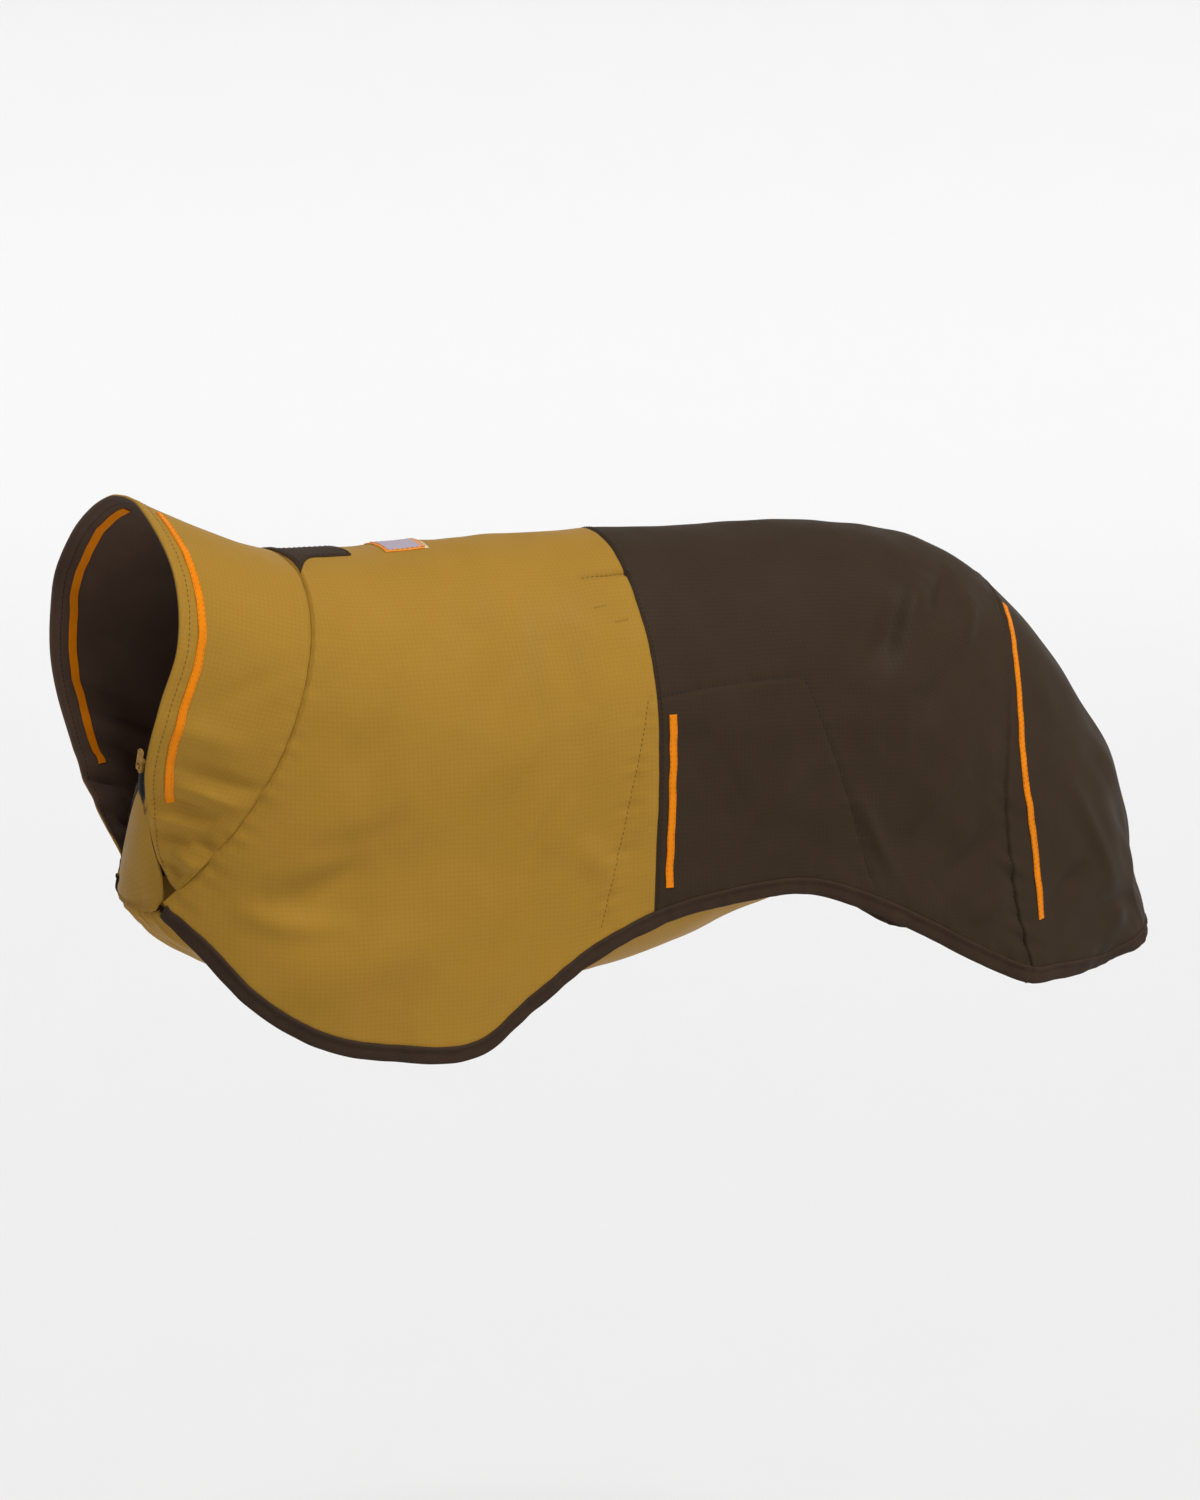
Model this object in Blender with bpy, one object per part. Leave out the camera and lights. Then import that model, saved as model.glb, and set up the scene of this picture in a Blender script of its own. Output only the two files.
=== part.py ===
"""Dog raincoat with a storm collar, a two-colour shell, a throat gusset on a zip and a belly panel.

Blender 4.5, metres, +Z up. -X is the head end, +X the tail, -Y the wearer's left side.
The origin is on the inner face of the back, over the withers, where the wearer carries the coat.

Every cloth piece is cut from one of four surfaces: torso, collar, gusset and belly. A surface is a
function of two numbers: t runs along the piece and s runs across it. Walls, bindings, strips and
patches are made from points of these surfaces, moved out or in along the normal.
"""

import math
from collections import namedtuple
from functools import lru_cache

import bmesh
import bpy
import numpy as np

MM = 0.001

# ---- driving sizes, millimetres -------------------------------------------------------------
SHELL = 1.4              # body cloth wall
COLLAR_CLOTH = 1.1       # outer collar wall
LINING = 1.0             # collar lining wall
GAP = 0.3                # clearance between pieces that are sewn together
FACET_ROOM = 0.5         # more clearance where a strip crosses the facets of a curved wall
BINDING_WIDTH = 9.5      # hem binding, from the panels' edge to its fold
BINDING_TAPE = 0.8       # thickness of the binding tape on each face of the cloth
STRIP_WIDTH = 5.0        # reflective strips
STRIP_THICK = 0.6
STRIP_FROM_RIM = 13.0    # strip centre to collar rim
COLLAR_CLEAR = 0.8       # between the collar's lower edge and the body shell
COLLAR_CLEAR_THROAT = 2.2    # added at the throat, where the collar folds inward
COLLAR_DIP = 2.6         # hollow of the collar between its seam and its rim
RIGHT_FLAP_LIFT = 0.055  # share by which the right shoulder flap hangs higher
RIGHT_FLANK_LIFT = 0.055     # and the right flank
WING_INSET = 0.9         # the belly panel's wings lie this far inside the side panels
ZIP_WIDTH = 3.4          # closed zip chain
ZIP_THICK = 1.6
ZIP_FROM_RIM = 5.3       # chain and slider centre to the collar rim
GUSSET_FROM_RIM = 7.7
ZIP_LEAN = 0.45          # how far the zip leans forward at the slider
PIPING_WIDTH = 2.6       # dark edge of the gusset
THROAT_BULGE = 5.5       # how far the throat seam bows forward in the middle
BULGE_END = 0.12         # where the belly panel no longer bows, as t
GUSSET_DROP = 8.0        # the gusset's right end lies this far below the rim's
GUARD_WIDTH = 13.0       # flap behind the zip
SLIDER_LENGTH, SLIDER_WIDTH, SLIDER_THICK = 9.0, 4.4, 2.4
SLIDER_CORNER = 1.2      # cut corners of the slider and the pull tab
BRIDGE_WIDTH, BRIDGE_OUTER, BRIDGE_INNER = 1.4, 1.6, 0.85
BRIDGE_SINK = 0.4        # the bridge's feet go this far into the slider
PIVOT_HEIGHT = 0.9       # pull tab's axis above the slider's face
TAB_LENGTH, TAB_WIDTH, TAB_THICK = 12.0, 4.4, 0.8
TAB_WINDOW = 2.4         # window that the bridge passes through
TAB_FRAME = 0.9          # metal beside the window
LABEL_LENGTH, LABEL_WIDTH = 28.0, 34.0
LABEL_FROM_SEAM = 64.0   # neck seam to the label along the back
PATCH_THICK = 0.7        # leash patch and label

# ---- torso sections -------------------------------------------------------------------------
# One row for each section ("rib") from the neck seam to the tail hem. A rib lies in a plane across
# the coat, from a point on the back line (spine) to a point on the hem (foot). half_width is its
# widest half, foot_half its half at the hem, crown the depth of the widest point as a share of the
# rib's height, corner how square the back is across (2 is an ellipse, less is more like a roof),
# and bow how far the rib's middle is pushed back.
Rib = namedtuple("Rib", "spine_x spine_z foot_x foot_z half_width foot_half crown corner bow")
TORSO_RIBS = [
    Rib(-100, -1, -190, -197, 86, 42, 0.41, 2.4, 14),      # neck seam
    Rib(-86, -1, -171, -217, 87, 54, 0.41, 2.3, 13),
    Rib(-66, -1, -146, -247, 90, 67, 0.42, 2.1, 9),
    Rib(-42, -1, -110, -273, 94, 80, 0.42, 2.0, 5),
    Rib(-14, 0, -62, -286, 96, 87, 0.42, 1.9, 2),         # lowest part of the shoulder flap
    Rib(14, 0, -12, -288, 97, 91, 0.43, 1.85, 0),
    Rib(38, 0, 21, -265, 98, 93, 0.45, 1.85, 0),
    Rib(68, 0, 58, -240, 98, 95, 0.49, 1.8, 0),
    Rib(107, 0, 103, -222, 97, 95, 0.52, 1.8, 0),         # colour seam
    Rib(160, -2, 160, -213, 96, 94, 0.54, 1.8, 0),
    Rib(212, -3, 212, -213, 96, 93, 0.54, 1.8, -3),
    Rib(262, -5, 258, -229, 96, 93, 0.52, 1.8, -7),
    Rib(305, -11, 300, -250, 96, 91, 0.51, 1.85, -12),
    Rib(345, -23, 338, -271, 94, 89, 0.51, 1.9, -18),
    Rib(385, -48, 381, -291, 88, 84, 0.53, 2.0, -26),     # rear seam
    Rib(422, -82, 404, -293, 81, 79, 0.60, 2.0, -18),
    Rib(453, -122, 424, -295, 73, 72, 0.70, 2.0, -10),
    Rib(478, -163, 438, -296, 66, 66, 0.80, 2.0, -4),
    Rib(497, -208, 450, -297, 60, 60, 0.92, 2.0, 0),
    Rib(509, -250, 458, -297, 56, 56, 1.0, 2.0, 0),
    Rib(516, -284, 464, -296, 53, 53, 1.0, 2.0, 0),       # tail hem
]
NECK_ROW, COLOUR_SEAM_ROW, REAR_SEAM_ROW = 0, 8, 14

# Collar rim from the nape to the throat. The collar is turned a little towards the wearer's left:
# turn is how far the left side lies behind this line and the right side before it.
RimPoint = namedtuple("RimPoint", "x half z turn")
COLLAR_RIM = [
    RimPoint(-192, 0, 39, 0),
    RimPoint(-193, 17, 37, 2),
    RimPoint(-195, 36, 28, 5),
    RimPoint(-196, 60, 10, 8),
    RimPoint(-199, 76, -14, 10),
    RimPoint(-202, 82, -40, 9),
    RimPoint(-207, 81, -66, 5),
    RimPoint(-209, 77, -90, 1),
    RimPoint(-208, 68, -112, -1),
    RimPoint(-204, 57, -134, 0),
    RimPoint(-199, 48, -152, 0),
    RimPoint(-193, 42, -168, 0),
    RimPoint(-184, 39, -187, 0),
]
COLLAR_SEAM_END = 0.965      # share of the neck rib that the collar is sewn to, down each side
COLLAR_END = 0.985           # where the collar's cloth ends, just short of its throat corners
SLIDER_AT = 0.705            # share of the left rim, nape to throat, that is open above the slider
GUARD_FROM, GUARD_TO = 0.90, 0.40    # ends of the flap behind the zip, as shares of the left rim
GUARD_AT = 0.88              # its root, as a share of the way from the neck seam to the rim

# Belly panel: the centre line from the throat seam back under the chest, the half width of the
# wearer's underside there, and half_cut, the panel's own half width along the cloth.
BellyRow = namedtuple("BellyRow", "x z half rise half_cut")
BELLY_ROWS = [
    BellyRow(-191, -205, 31, 4, 31),
    BellyRow(-182, -221, 44, 17, 40),
    BellyRow(-160, -238, 58, 28, 49),
    BellyRow(-115, -256, 68, 42, 54),
    BellyRow(-60, -268, 78, 60, 58),
    BellyRow(-10, -273, 86, 80, 62),
    BellyRow(40, -277, 91, 95, 66),
    BellyRow(70, -275, 92, 100, 76),
    BellyRow(84, -276, 92, 100, 140),
    BellyRow(98, -274, 92, 100, 196),
    BellyRow(150, -263, 92, 95, 198),
    BellyRow(202, -247, 90, 90, 194),
    BellyRow(221, -242, 90, 88, 146),
    BellyRow(238, -238, 90, 86, 92),
]
WING_TOP_Z, WING_BLEND = -60.0, 45.0     # height limit of the wings, and where they leave the belly

# Leash patch: half width against the distance behind the neck seam.
PatchRow = namedtuple("PatchRow", "behind half")
LEASH_PATCH = [
    PatchRow(1.2, 40), PatchRow(4, 34), PatchRow(8, 27), PatchRow(12, 22.5), PatchRow(25, 20.5),
    PatchRow(42, 18),
]

# Body strips: the seam they follow, their ends as s, and their distances behind the seam at equal
# steps from the top end to the bottom end.
BodyStrip = namedtuple("BodyStrip", "name seam top bottom points behind")
BODY_STRIPS = [
    BodyStrip("side_strip", "colour", 0.555, 0.95, 7, (9.6, 9.6)),
    BodyStrip("rear_strip", "rear", 0.13, 0.865, 15, (6.5, 6, 8.2, 11.5, 15.5, 21, 24.5, 24, 20.5)),
]

# Largest folds of the shell: soft troughs (negative) and ridges (positive) that run from one
# place to another on a surface. along and across are t and s on that surface.
Fold = namedtuple("Fold", "along_a across_a along_b across_b width depth")
TORSO_FOLDS = [
    Fold(0.03, 0.90, 0.16, 0.66, 18, -3.0),      # from the throat corner back over the shoulder
    Fold(0.08, 0.96, 0.20, 0.74, 16, 2.4),
    Fold(0.30, 0.16, 0.20, 0.42, 20, -1.8),
    Fold(0.60, 0.28, 0.53, 0.66, 20, -3.2),      # haunch, falling forward and down
    Fold(0.655, 0.24, 0.62, 0.60, 18, 2.6),
    Fold(0.70, 0.62, 0.60, 0.90, 18, -2.8),      # above the rear hem
    Fold(0.86, 0.35, 0.95, 0.85, 20, 2.6),       # tail panel
    Fold(0.905, 0.0, 0.885, 0.30, 15, 3.2),      # ridge and hollow across the tail panel
    Fold(0.955, 0.06, 0.975, 0.50, 13, -6.0),
]
COLLAR_FOLDS = [
    Fold(0.12, 0.84, 0.90, 0.79, 13, -2.4),      # creases towards the throat
    Fold(0.20, 0.74, 0.85, 0.66, 14, -2.0),
]

Colour = namedtuple("Colour", "red green blue roughness")
MATERIALS = {
    "ochre_shell": Colour(0.36, 0.18, 0.030, 0.55),
    "brown_shell": Colour(0.045, 0.029, 0.020, 0.58),
    "lining": Colour(0.035, 0.022, 0.016, 0.7),
    "binding": Colour(0.036, 0.023, 0.016, 0.75),
    "reflective": Colour(0.95, 0.29, 0.008, 0.35),
    "label": Colour(0.42, 0.34, 0.42, 0.8),
    "zip_plastic": Colour(0.012, 0.010, 0.009, 0.45),
    "zip_slider": Colour(0.30, 0.16, 0.035, 0.4),
}


# ---- curves and tables ----------------------------------------------------------------------
def smooth_table(knots, rows, at):
    """Rows interpolated by a smooth curve through their values, at one or many places."""
    knots, rows = np.asarray(knots, float), np.asarray(rows, float)
    steps = np.diff(knots)
    slopes = np.diff(rows, axis=0) / steps[:, None]
    tangents = np.vstack([slopes[:1], slopes])
    tangents[1:-1] = (slopes[:-1] * steps[1:, None] + slopes[1:] * steps[:-1, None]) / (
        steps[:-1] + steps[1:])[:, None]
    at = np.clip(np.atleast_1d(at), knots[0], knots[-1])
    i = np.clip(np.searchsorted(knots, at, side="right") - 1, 0, len(steps) - 1)
    step = steps[i][:, None]
    u = ((at - knots[i]) / steps[i])[:, None]
    start, end = 2 * u**3 - 3 * u**2 + 1, -2 * u**3 + 3 * u**2
    lead, trail = u**3 - 2 * u**2 + u, u**3 - u**2
    return start * rows[i] + end * rows[i + 1] + step * (lead * tangents[i] + trail * tangents[i + 1])


def lengths(points):
    """Running length along a row of points, from 0."""
    return np.concatenate([[0], np.cumsum(np.linalg.norm(np.diff(points, axis=0), axis=1))])


def by_length(points, shares):
    """Points at these shares of a curve's length."""
    run = lengths(points)
    return np.column_stack([np.interp(np.asarray(shares) * run[-1], run, points[:, k]) for k in range(3)])


def unit(vector):
    return vector / np.linalg.norm(vector, axis=-1, keepdims=True)


def rib_knots():
    """Place of each torso rib along the coat, from 0 at the neck seam to 1 at the tail hem."""
    table = np.array(TORSO_RIBS)
    spine = lengths(table[:, 0:2])
    foot = lengths(table[:, 2:4])
    middle = (spine + foot) / 2
    return middle / middle[-1]


RIB_KNOTS = rib_knots()
T_NECK, T_COLOUR, T_REAR = (RIB_KNOTS[row] for row in (NECK_ROW, COLOUR_SEAM_ROW, REAR_SEAM_ROW))
RIB_SAMPLES = 64


@lru_cache(maxsize=None)
def rib_profile(t):
    """Right half of a torso section from the spine to the foot, as points in metres."""
    rib = Rib(*smooth_table(RIB_KNOTS, TORSO_RIBS, t)[0])
    spine, foot = np.array([rib.spine_x, 0, rib.spine_z]), np.array([rib.foot_x, 0, rib.foot_z])
    down = foot - spine
    back = unit(np.array([-down[2], 0, down[0]]))
    crown = min(rib.crown, 1.0)
    angle = np.linspace(0, math.pi / 2, RIB_SAMPLES)
    depth_top = crown * (1 - np.cos(angle) ** (2 / rib.corner))
    half_top = rib.half_width * np.sin(angle) ** (2 / rib.corner)
    fall = np.linspace(0, 1, RIB_SAMPLES)[1:] if crown < 1 else np.empty(0)
    depth = np.concatenate([depth_top, crown + (1 - crown) * fall])
    half = np.concatenate([half_top, rib.half_width - (rib.half_width - rib.foot_half) * fall**2])
    points = spine + depth[:, None] * down + (rib.bow * np.sin(math.pi * depth))[:, None] * back
    points[:, 1] = half
    return points * MM


def mirrored(half_curve, s):
    """Points of a mirrored curve: s from -1 at the left end, over 0 in the middle, to 1."""
    s = np.atleast_1d(s)
    points = by_length(half_curve, np.abs(s))
    points[:, 1] *= np.sign(s)
    return points


# ---- surfaces -------------------------------------------------------------------------------
def stepwise(values, share):
    """A smooth curve through values that stand at equal steps of a path, read at a share of it."""
    return float(smooth_table(np.linspace(0, 1, len(values)), np.array([values]).T, share)[0, 0])


def fold_depth(folds, t, s, scale):
    """Sum of the folds' heights at (t, s), in metres. scale is the surface's size along t and s."""
    here = np.stack(np.broadcast_arrays(t * scale[0], s * scale[1]), -1)
    total = np.zeros(here.shape[:-1])
    for fold in folds:
        a = np.array([fold.along_a * scale[0], fold.across_a * scale[1]])
        b = np.array([fold.along_b * scale[0], fold.across_b * scale[1]])
        run = b - a
        share = np.clip(((here - a) @ run) / (run @ run), 0, 1)
        away = np.linalg.norm(here - a - share[..., None] * run, axis=-1)
        taper = 0.35 + 0.65 * np.sin(math.pi * share)
        total += fold.depth * taper * np.exp(-((away / fold.width) ** 2))
    return total * MM


def moved_out(base, t, s, heights, step=0.004):
    """Points of base(t, s) moved along the surface's normal by heights."""
    s = np.atleast_1d(s)
    along = base(min(t + step, 1), s) - base(max(t - step, 0), s)
    across = base(t, np.clip(s + step, -1, 1)) - base(t, np.clip(s - step, -1, 1))
    return base(t, s) + unit(np.cross(along, across)) * np.asarray(heights)[:, None]


TORSO_SIZE = (720.0, 280.0)      # millimetres along the back, and from the spine to the hem
COLLAR_SIZE = (90.0, 280.0)
FLAP_AT, FLAP_SPREAD = 0.10, 0.07
FLANK_AT, FLANK_SPREAD = 0.665, 0.055


def torso_base(t, s):
    """The shell without folds. The right shoulder flap and flank are drawn up a little."""
    lift = RIGHT_FLAP_LIFT * math.exp(-(((t - FLAP_AT) / FLAP_SPREAD) ** 2))
    lift += RIGHT_FLANK_LIFT * math.exp(-(((t - FLANK_AT) / FLANK_SPREAD) ** 2))
    s = np.atleast_1d(s)
    return mirrored(rib_profile(t), np.where(s > 0, s * (1 - lift), s))


def torso(t, s):
    """Outer face of the body shell. t: 0 neck seam to 1 tail hem. s: -1 left hem to 1 right hem."""
    s = np.atleast_1d(s)
    return moved_out(torso_base, t, s, fold_depth(TORSO_FOLDS, t, np.abs(s), TORSO_SIZE))


def neck_seam(s):
    """Where the collar meets the body shell."""
    return torso(T_NECK, np.atleast_1d(s) * COLLAR_SEAM_END)


RIM_SAMPLES = 80


@lru_cache(maxsize=None)
def rim_curve():
    fine = np.linspace(0, len(COLLAR_RIM) - 1, RIM_SAMPLES)
    return smooth_table(range(len(COLLAR_RIM)), COLLAR_RIM, fine) * MM


def collar_rim(s):
    """Free edge of the collar."""
    s = np.atleast_1d(s)
    table = rim_curve()
    run = lengths(table[:, :3])
    points = np.column_stack([np.interp(np.abs(s) * run[-1], run, table[:, k]) for k in range(4)])
    points[:, 1] *= np.sign(s)
    points[:, 0] -= np.sign(s) * points[:, 3]
    return points[:, :3]


def collar_base(t, s):
    seam, rim = neck_seam(s), collar_rim(s)
    reach = rim - seam
    clear = (COLLAR_CLEAR + COLLAR_CLEAR_THROAT * np.abs(s) ** 10) * MM
    start = (clear / np.linalg.norm(reach, axis=1))[:, None]
    return seam + reach * (start + (1 - start) * t)


def collar(t, s):
    """Outer face of the collar. t: 0 neck seam to 1 rim. s: -1 left throat corner to 1 right."""
    s = np.atleast_1d(s)
    dip = COLLAR_DIP * MM * math.sin(math.pi * t) * np.cos(s * math.pi / 2)
    heights = dip - fold_depth(COLLAR_FOLDS, t, np.abs(s), COLLAR_SIZE)
    return moved_out(collar_base, t, s, heights)


def belly_knots():
    run = lengths(np.array([(row.x, 0, row.z) for row in BELLY_ROWS]))
    return run / run[-1]


@lru_cache(maxsize=None)
def belly_row(t):
    knots = belly_knots()
    row = BellyRow(*smooth_table(knots, BELLY_ROWS, t)[0])
    return row._replace(half_cut=np.interp(t, knots, [each.half_cut for each in BELLY_ROWS]))


def shell_t_at_x():
    """Where upright torso ribs stand: x at mid height, and t."""
    ts = np.linspace(0, T_REAR, 40)
    xs = [rib_profile(t)[RIB_SAMPLES, 0] for t in ts]
    return np.array(xs), ts


SHELL_X, SHELL_T = shell_t_at_x()


def wing_profile(row, z_from, side):
    """The belly wing above the wearer's underside: the side panel's own points, moved in."""
    t = float(np.interp(row.x * MM, SHELL_X, SHELL_T))
    s = np.linspace(1.0, 0.2, 60) * side
    inward = np.full(len(s), -(SHELL + WING_INSET) * MM)
    panel = (moved_out(torso, t, s, inward)) / MM
    top = np.linspace(z_from, WING_TOP_Z, RIB_SAMPLES)[1:]
    widths = np.abs(np.interp(top, panel[:, 2], panel[:, 1]))
    xs = np.interp(top, panel[:, 2], panel[:, 0])
    share = np.clip((top - z_from) / WING_BLEND, 0, 1)
    blend = share * share * (3 - 2 * share)
    return np.column_stack([row.x + (xs - row.x) * blend, row.half + (widths - row.half) * blend, top])


def belly(t, s):
    """Outer face of the belly panel. t: 0 throat seam to 1 rear edge. s: -1 left edge to 1."""
    row = belly_row(t)
    angle = np.linspace(0, math.pi / 2, RIB_SAMPLES)
    bottom = np.column_stack([np.full(RIB_SAMPLES, row.x), row.half * np.sin(angle),
                              row.z + row.rise * (1 - np.cos(angle))])
    s = np.atleast_1d(s)
    points = np.empty((len(s), 3))
    for side in (-1, 1):
        chosen = s < 0 if side < 0 else s >= 0
        curve = np.vstack([bottom, wing_profile(row, row.z + row.rise, side)]) * MM
        share = min(row.half_cut * MM / lengths(curve)[-1], 1.0)
        points[chosen] = mirrored(curve, s[chosen] * share)
    bulge = THROAT_BULGE * MM * max(1 - t / BULGE_END, 0) ** 2
    points[:, 0] -= bulge * np.cos(s * math.pi / 2)
    return points


THROAT = {-1: np.array([-192.0, 32, -196]) * MM, 1: np.array([-196.0, -40, -180]) * MM}


def from_rim(s, distance):
    """A point at a distance in mm from the collar rim, square to it, towards the throat's other side."""
    side = -1 if s < 0 else 1
    rim = collar_rim(s)[0]
    along = unit(collar_rim(s + 0.01)[0] - collar_rim(s - 0.01)[0])
    reach = THROAT[side] - rim
    reach = unit(reach - along * (reach @ along))
    if side < 0:
        reach[0] -= ZIP_LEAN * (COLLAR_END + s) / (COLLAR_END - SLIDER_AT)
    return rim + unit(reach) * distance * MM


def gusset(t, s):
    """Outer face of the throat gusset. t: 0 throat seam to 1 upper edge. s: -1 left edge to 1.

    The sheet is spanned between four edges: the throat seam, the zip line up the left rim, the
    straight upper edge and the short right edge.
    """
    s = np.atleast_1d(s)
    share = ((s + 1) / 2)[:, None]
    seam, corners = (belly(0.0, places) for places in (s, [-1.0, 1.0]))
    for edge in (seam, corners):
        edge[:, 2] += 3 * GAP * MM
    throat = from_rim(-COLLAR_END, GUSSET_FROM_RIM)
    zip_line = from_rim(-(COLLAR_END + (SLIDER_AT - COLLAR_END) * t), GUSSET_FROM_RIM)
    zip_line = zip_line + (corners[0] - throat) * (1 - t) ** 4
    top_left = from_rim(-SLIDER_AT, GUSSET_FROM_RIM)
    top_right = from_rim(COLLAR_END, COLLAR_CLOTH + LINING + 4 * GAP)
    top_right[2] -= GUSSET_DROP * MM
    right = corners[1] + (top_right - corners[1]) * t
    top = top_left + (top_right - top_left) * share
    flat = (1 - t) * (corners[0] + (corners[1] - corners[0]) * share) + t * top
    return (1 - share) * zip_line + share * right + (1 - t) * seam + t * top - flat


# ---- solids ---------------------------------------------------------------------------------
def material(name):
    found = bpy.data.materials.get(name)
    if found:
        return found
    colour = MATERIALS[name]
    made = bpy.data.materials.new(name)
    made.use_nodes = True
    shader = made.node_tree.nodes["Principled BSDF"]
    shader.inputs["Base Color"].default_value = (colour.red, colour.green, colour.blue, 1)
    shader.inputs["Roughness"].default_value = colour.roughness
    shader.inputs["Metallic"].default_value = 0.0
    return made


def add_mesh(name, points, faces, slot):
    """One closed solid with its faces turned outward."""
    mesh = bpy.data.meshes.new(name)
    mesh.from_pydata([tuple(p) for p in points], [], faces)
    solid = bmesh.new()
    solid.from_mesh(mesh)
    bmesh.ops.recalc_face_normals(solid, faces=solid.faces)
    solid.to_mesh(mesh)
    solid.free()
    mesh.shade_smooth()
    mesh.set_sharp_from_angle(angle=math.radians(50))
    made = bpy.data.objects.new(name, mesh)
    made.data.materials.append(material(slot))
    bpy.context.scene.collection.objects.link(made)
    return made


def grid_normals(points):
    """Unit normals of a grid of surface points, from the quads that meet at each point."""
    quads = np.cross(points[1:, 1:] - points[:-1, :-1], points[:-1, 1:] - points[1:, :-1])
    normal = np.zeros(points.shape)
    for rows in (slice(None, -1), slice(1, None)):
        for columns in (slice(None, -1), slice(1, None)):
            normal[rows, columns] += quads
    return unit(normal)


def wall(name, outer, inward, slot):
    """A cloth wall: a grid of outer points, the same grid moved in, and faces round the edge."""
    rows, columns = outer.shape[:2]
    points = np.concatenate([outer.reshape(-1, 3), (outer + inward).reshape(-1, 3)])
    other = rows * columns

    def at(i, j, side=0):
        return side * other + i * columns + j

    faces = []
    for i in range(rows - 1):
        for j in range(columns - 1):
            faces.append((at(i, j), at(i, j + 1), at(i + 1, j + 1), at(i + 1, j)))
            faces.append((at(i, j, 1), at(i + 1, j, 1), at(i + 1, j + 1, 1), at(i, j + 1, 1)))
    edge = [(0, j) for j in range(columns)] + [(i, columns - 1) for i in range(1, rows)]
    edge += [(rows - 1, j) for j in range(columns - 2, -1, -1)] + [(i, 0) for i in range(rows - 2, 0, -1)]
    for a, b in zip(edge, edge[1:] + edge[:1]):
        faces.append((at(*b), at(*a), at(*a, 1), at(*b, 1)))
    return add_mesh(name, points, faces, slot)


def cloth(name, surface, ts, ss, thickness, slot, inset=0.0, outward=1):
    """A wall cut from a surface between the given t and s values, inset below its outer face."""
    grid = np.array([surface(t, ss) for t in ts])
    normal = grid_normals(grid) * outward
    return wall(name, grid - normal * inset * MM, -normal * thickness * MM, slot)


def tube(name, rings, slot):
    """A solid through closed rings of equal point count, capped at both ends."""
    rings = np.asarray(rings)
    count, around = rings.shape[:2]
    faces = []
    for i in range(count - 1):
        for j in range(around):
            k = (j + 1) % around
            faces.append((i * around + j, i * around + k, (i + 1) * around + k, (i + 1) * around + j))
    faces.append(tuple(range(around - 1, -1, -1)))
    faces.append(tuple((count - 1) * around + j for j in range(around)))
    return add_mesh(name, rings.reshape(-1, 3), faces, slot)


class Place:
    """A place on a surface: its point, normal, and the directions of growing t and s."""

    def __init__(self, surface, t, s, outward=1, step=0.003):
        t = min(max(t, step), 1 - step)
        s = min(max(s, step - 1), 1 - step)
        self.point = surface(t, s)[0]
        self.along = (surface(t + step, s)[0] - surface(t - step, s)[0]) / (2 * step)
        self.across = (surface(t, s + step)[0] - surface(t, s - step)[0]) / (2 * step)
        self.normal = unit(np.cross(self.along, self.across) * outward)


def stepped(surface, t, s, direction, distance, outward=1):
    """The (t, s) reached by going a distance in metres over the surface, in three steps."""
    for _ in range(3):
        here = Place(surface, t, s, outward)
        flat = unit(direction - here.normal * (direction @ here.normal))
        jacobian = np.column_stack([here.along, here.across])
        dt, ds = np.linalg.lstsq(jacobian, flat * distance / 3, rcond=None)[0]
        t, s = t + dt, s + ds
    return t, s


def path_tangents(points):
    return unit(np.gradient(points, axis=0))


def ribbon(name, surface, path, width, thick, slot, raise_by=GAP, outward=1):
    """A flat strip sewn on a surface along a path of (t, s) places, raised above the surface."""
    points = np.array([surface(t, s)[0] for t, s in path])
    rings = []
    for (t, s), tangent in zip(path, path_tangents(points)):
        here = Place(surface, t, s, outward)
        side = np.cross(here.normal, tangent)
        edges = []
        for sign in (-1, 1):
            u, v = stepped(surface, t, s, sign * side, width / 2 * MM, outward)
            edges.append(Place(surface, u, v, outward))
        left, right = edges
        near, far = raise_by * MM, (raise_by + thick) * MM
        rings.append([left.point + left.normal * far, right.point + right.normal * far,
                      right.point + right.normal * near, left.point + left.normal * near])
    return tube(name, rings, slot)


def edge_band(name, edge, across, normal, profile, slot):
    """A band along an edge. profile gives its section as (across, normal) pairs in millimetres."""
    rings = [[p + a * u * MM + n * v * MM for u, v in profile] for p, a, n in zip(edge, across, normal)]
    return tube(name, rings, slot)


# ---- pieces ---------------------------------------------------------------------------------
FROM_CENTRE = np.linspace(-1, 1, 37)
YOKE_ROWS = np.linspace(T_NECK, T_COLOUR, 13)
REAR_ROWS = np.linspace(T_COLOUR, T_REAR, 13)
TAIL_ROWS = np.linspace(T_REAR, 1.0, 9)


def make_shell():
    """Yoke, rear panel and tail panel, each sewn to the next across the back, and the hem binding."""
    rows = np.concatenate([YOKE_ROWS, REAR_ROWS[1:], TAIL_ROWS[1:]])
    grid = np.array([torso(t, FROM_CENTRE) for t in rows])
    normal = grid_normals(grid)
    along = unit(np.gradient(grid, axis=0))
    pieces = (("yoke_panel", len(YOKE_ROWS), "ochre_shell"), ("rear_panel", len(REAR_ROWS), "brown_shell"),
              ("tail_panel", len(TAIL_ROWS), "brown_shell"))
    first = 0
    for name, count, slot in pieces:
        last = first + count
        outer = grid[first:last].copy()
        if first > 0:
            outer[0] += along[first] * GAP / 2 * MM
        if last < len(rows):
            outer[-1] -= along[last - 1] * GAP / 2 * MM
        wall(name, outer, -normal[first:last] * SHELL * MM, slot)
        first = last - 1
    make_binding(grid, normal)


def round_hem(grid):
    """The grid's hem points in order: left side from the throat, the tail, and the right side."""
    return np.concatenate([grid[:, 0], grid[-1, 1:-1], grid[::-1, -1]])


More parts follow.
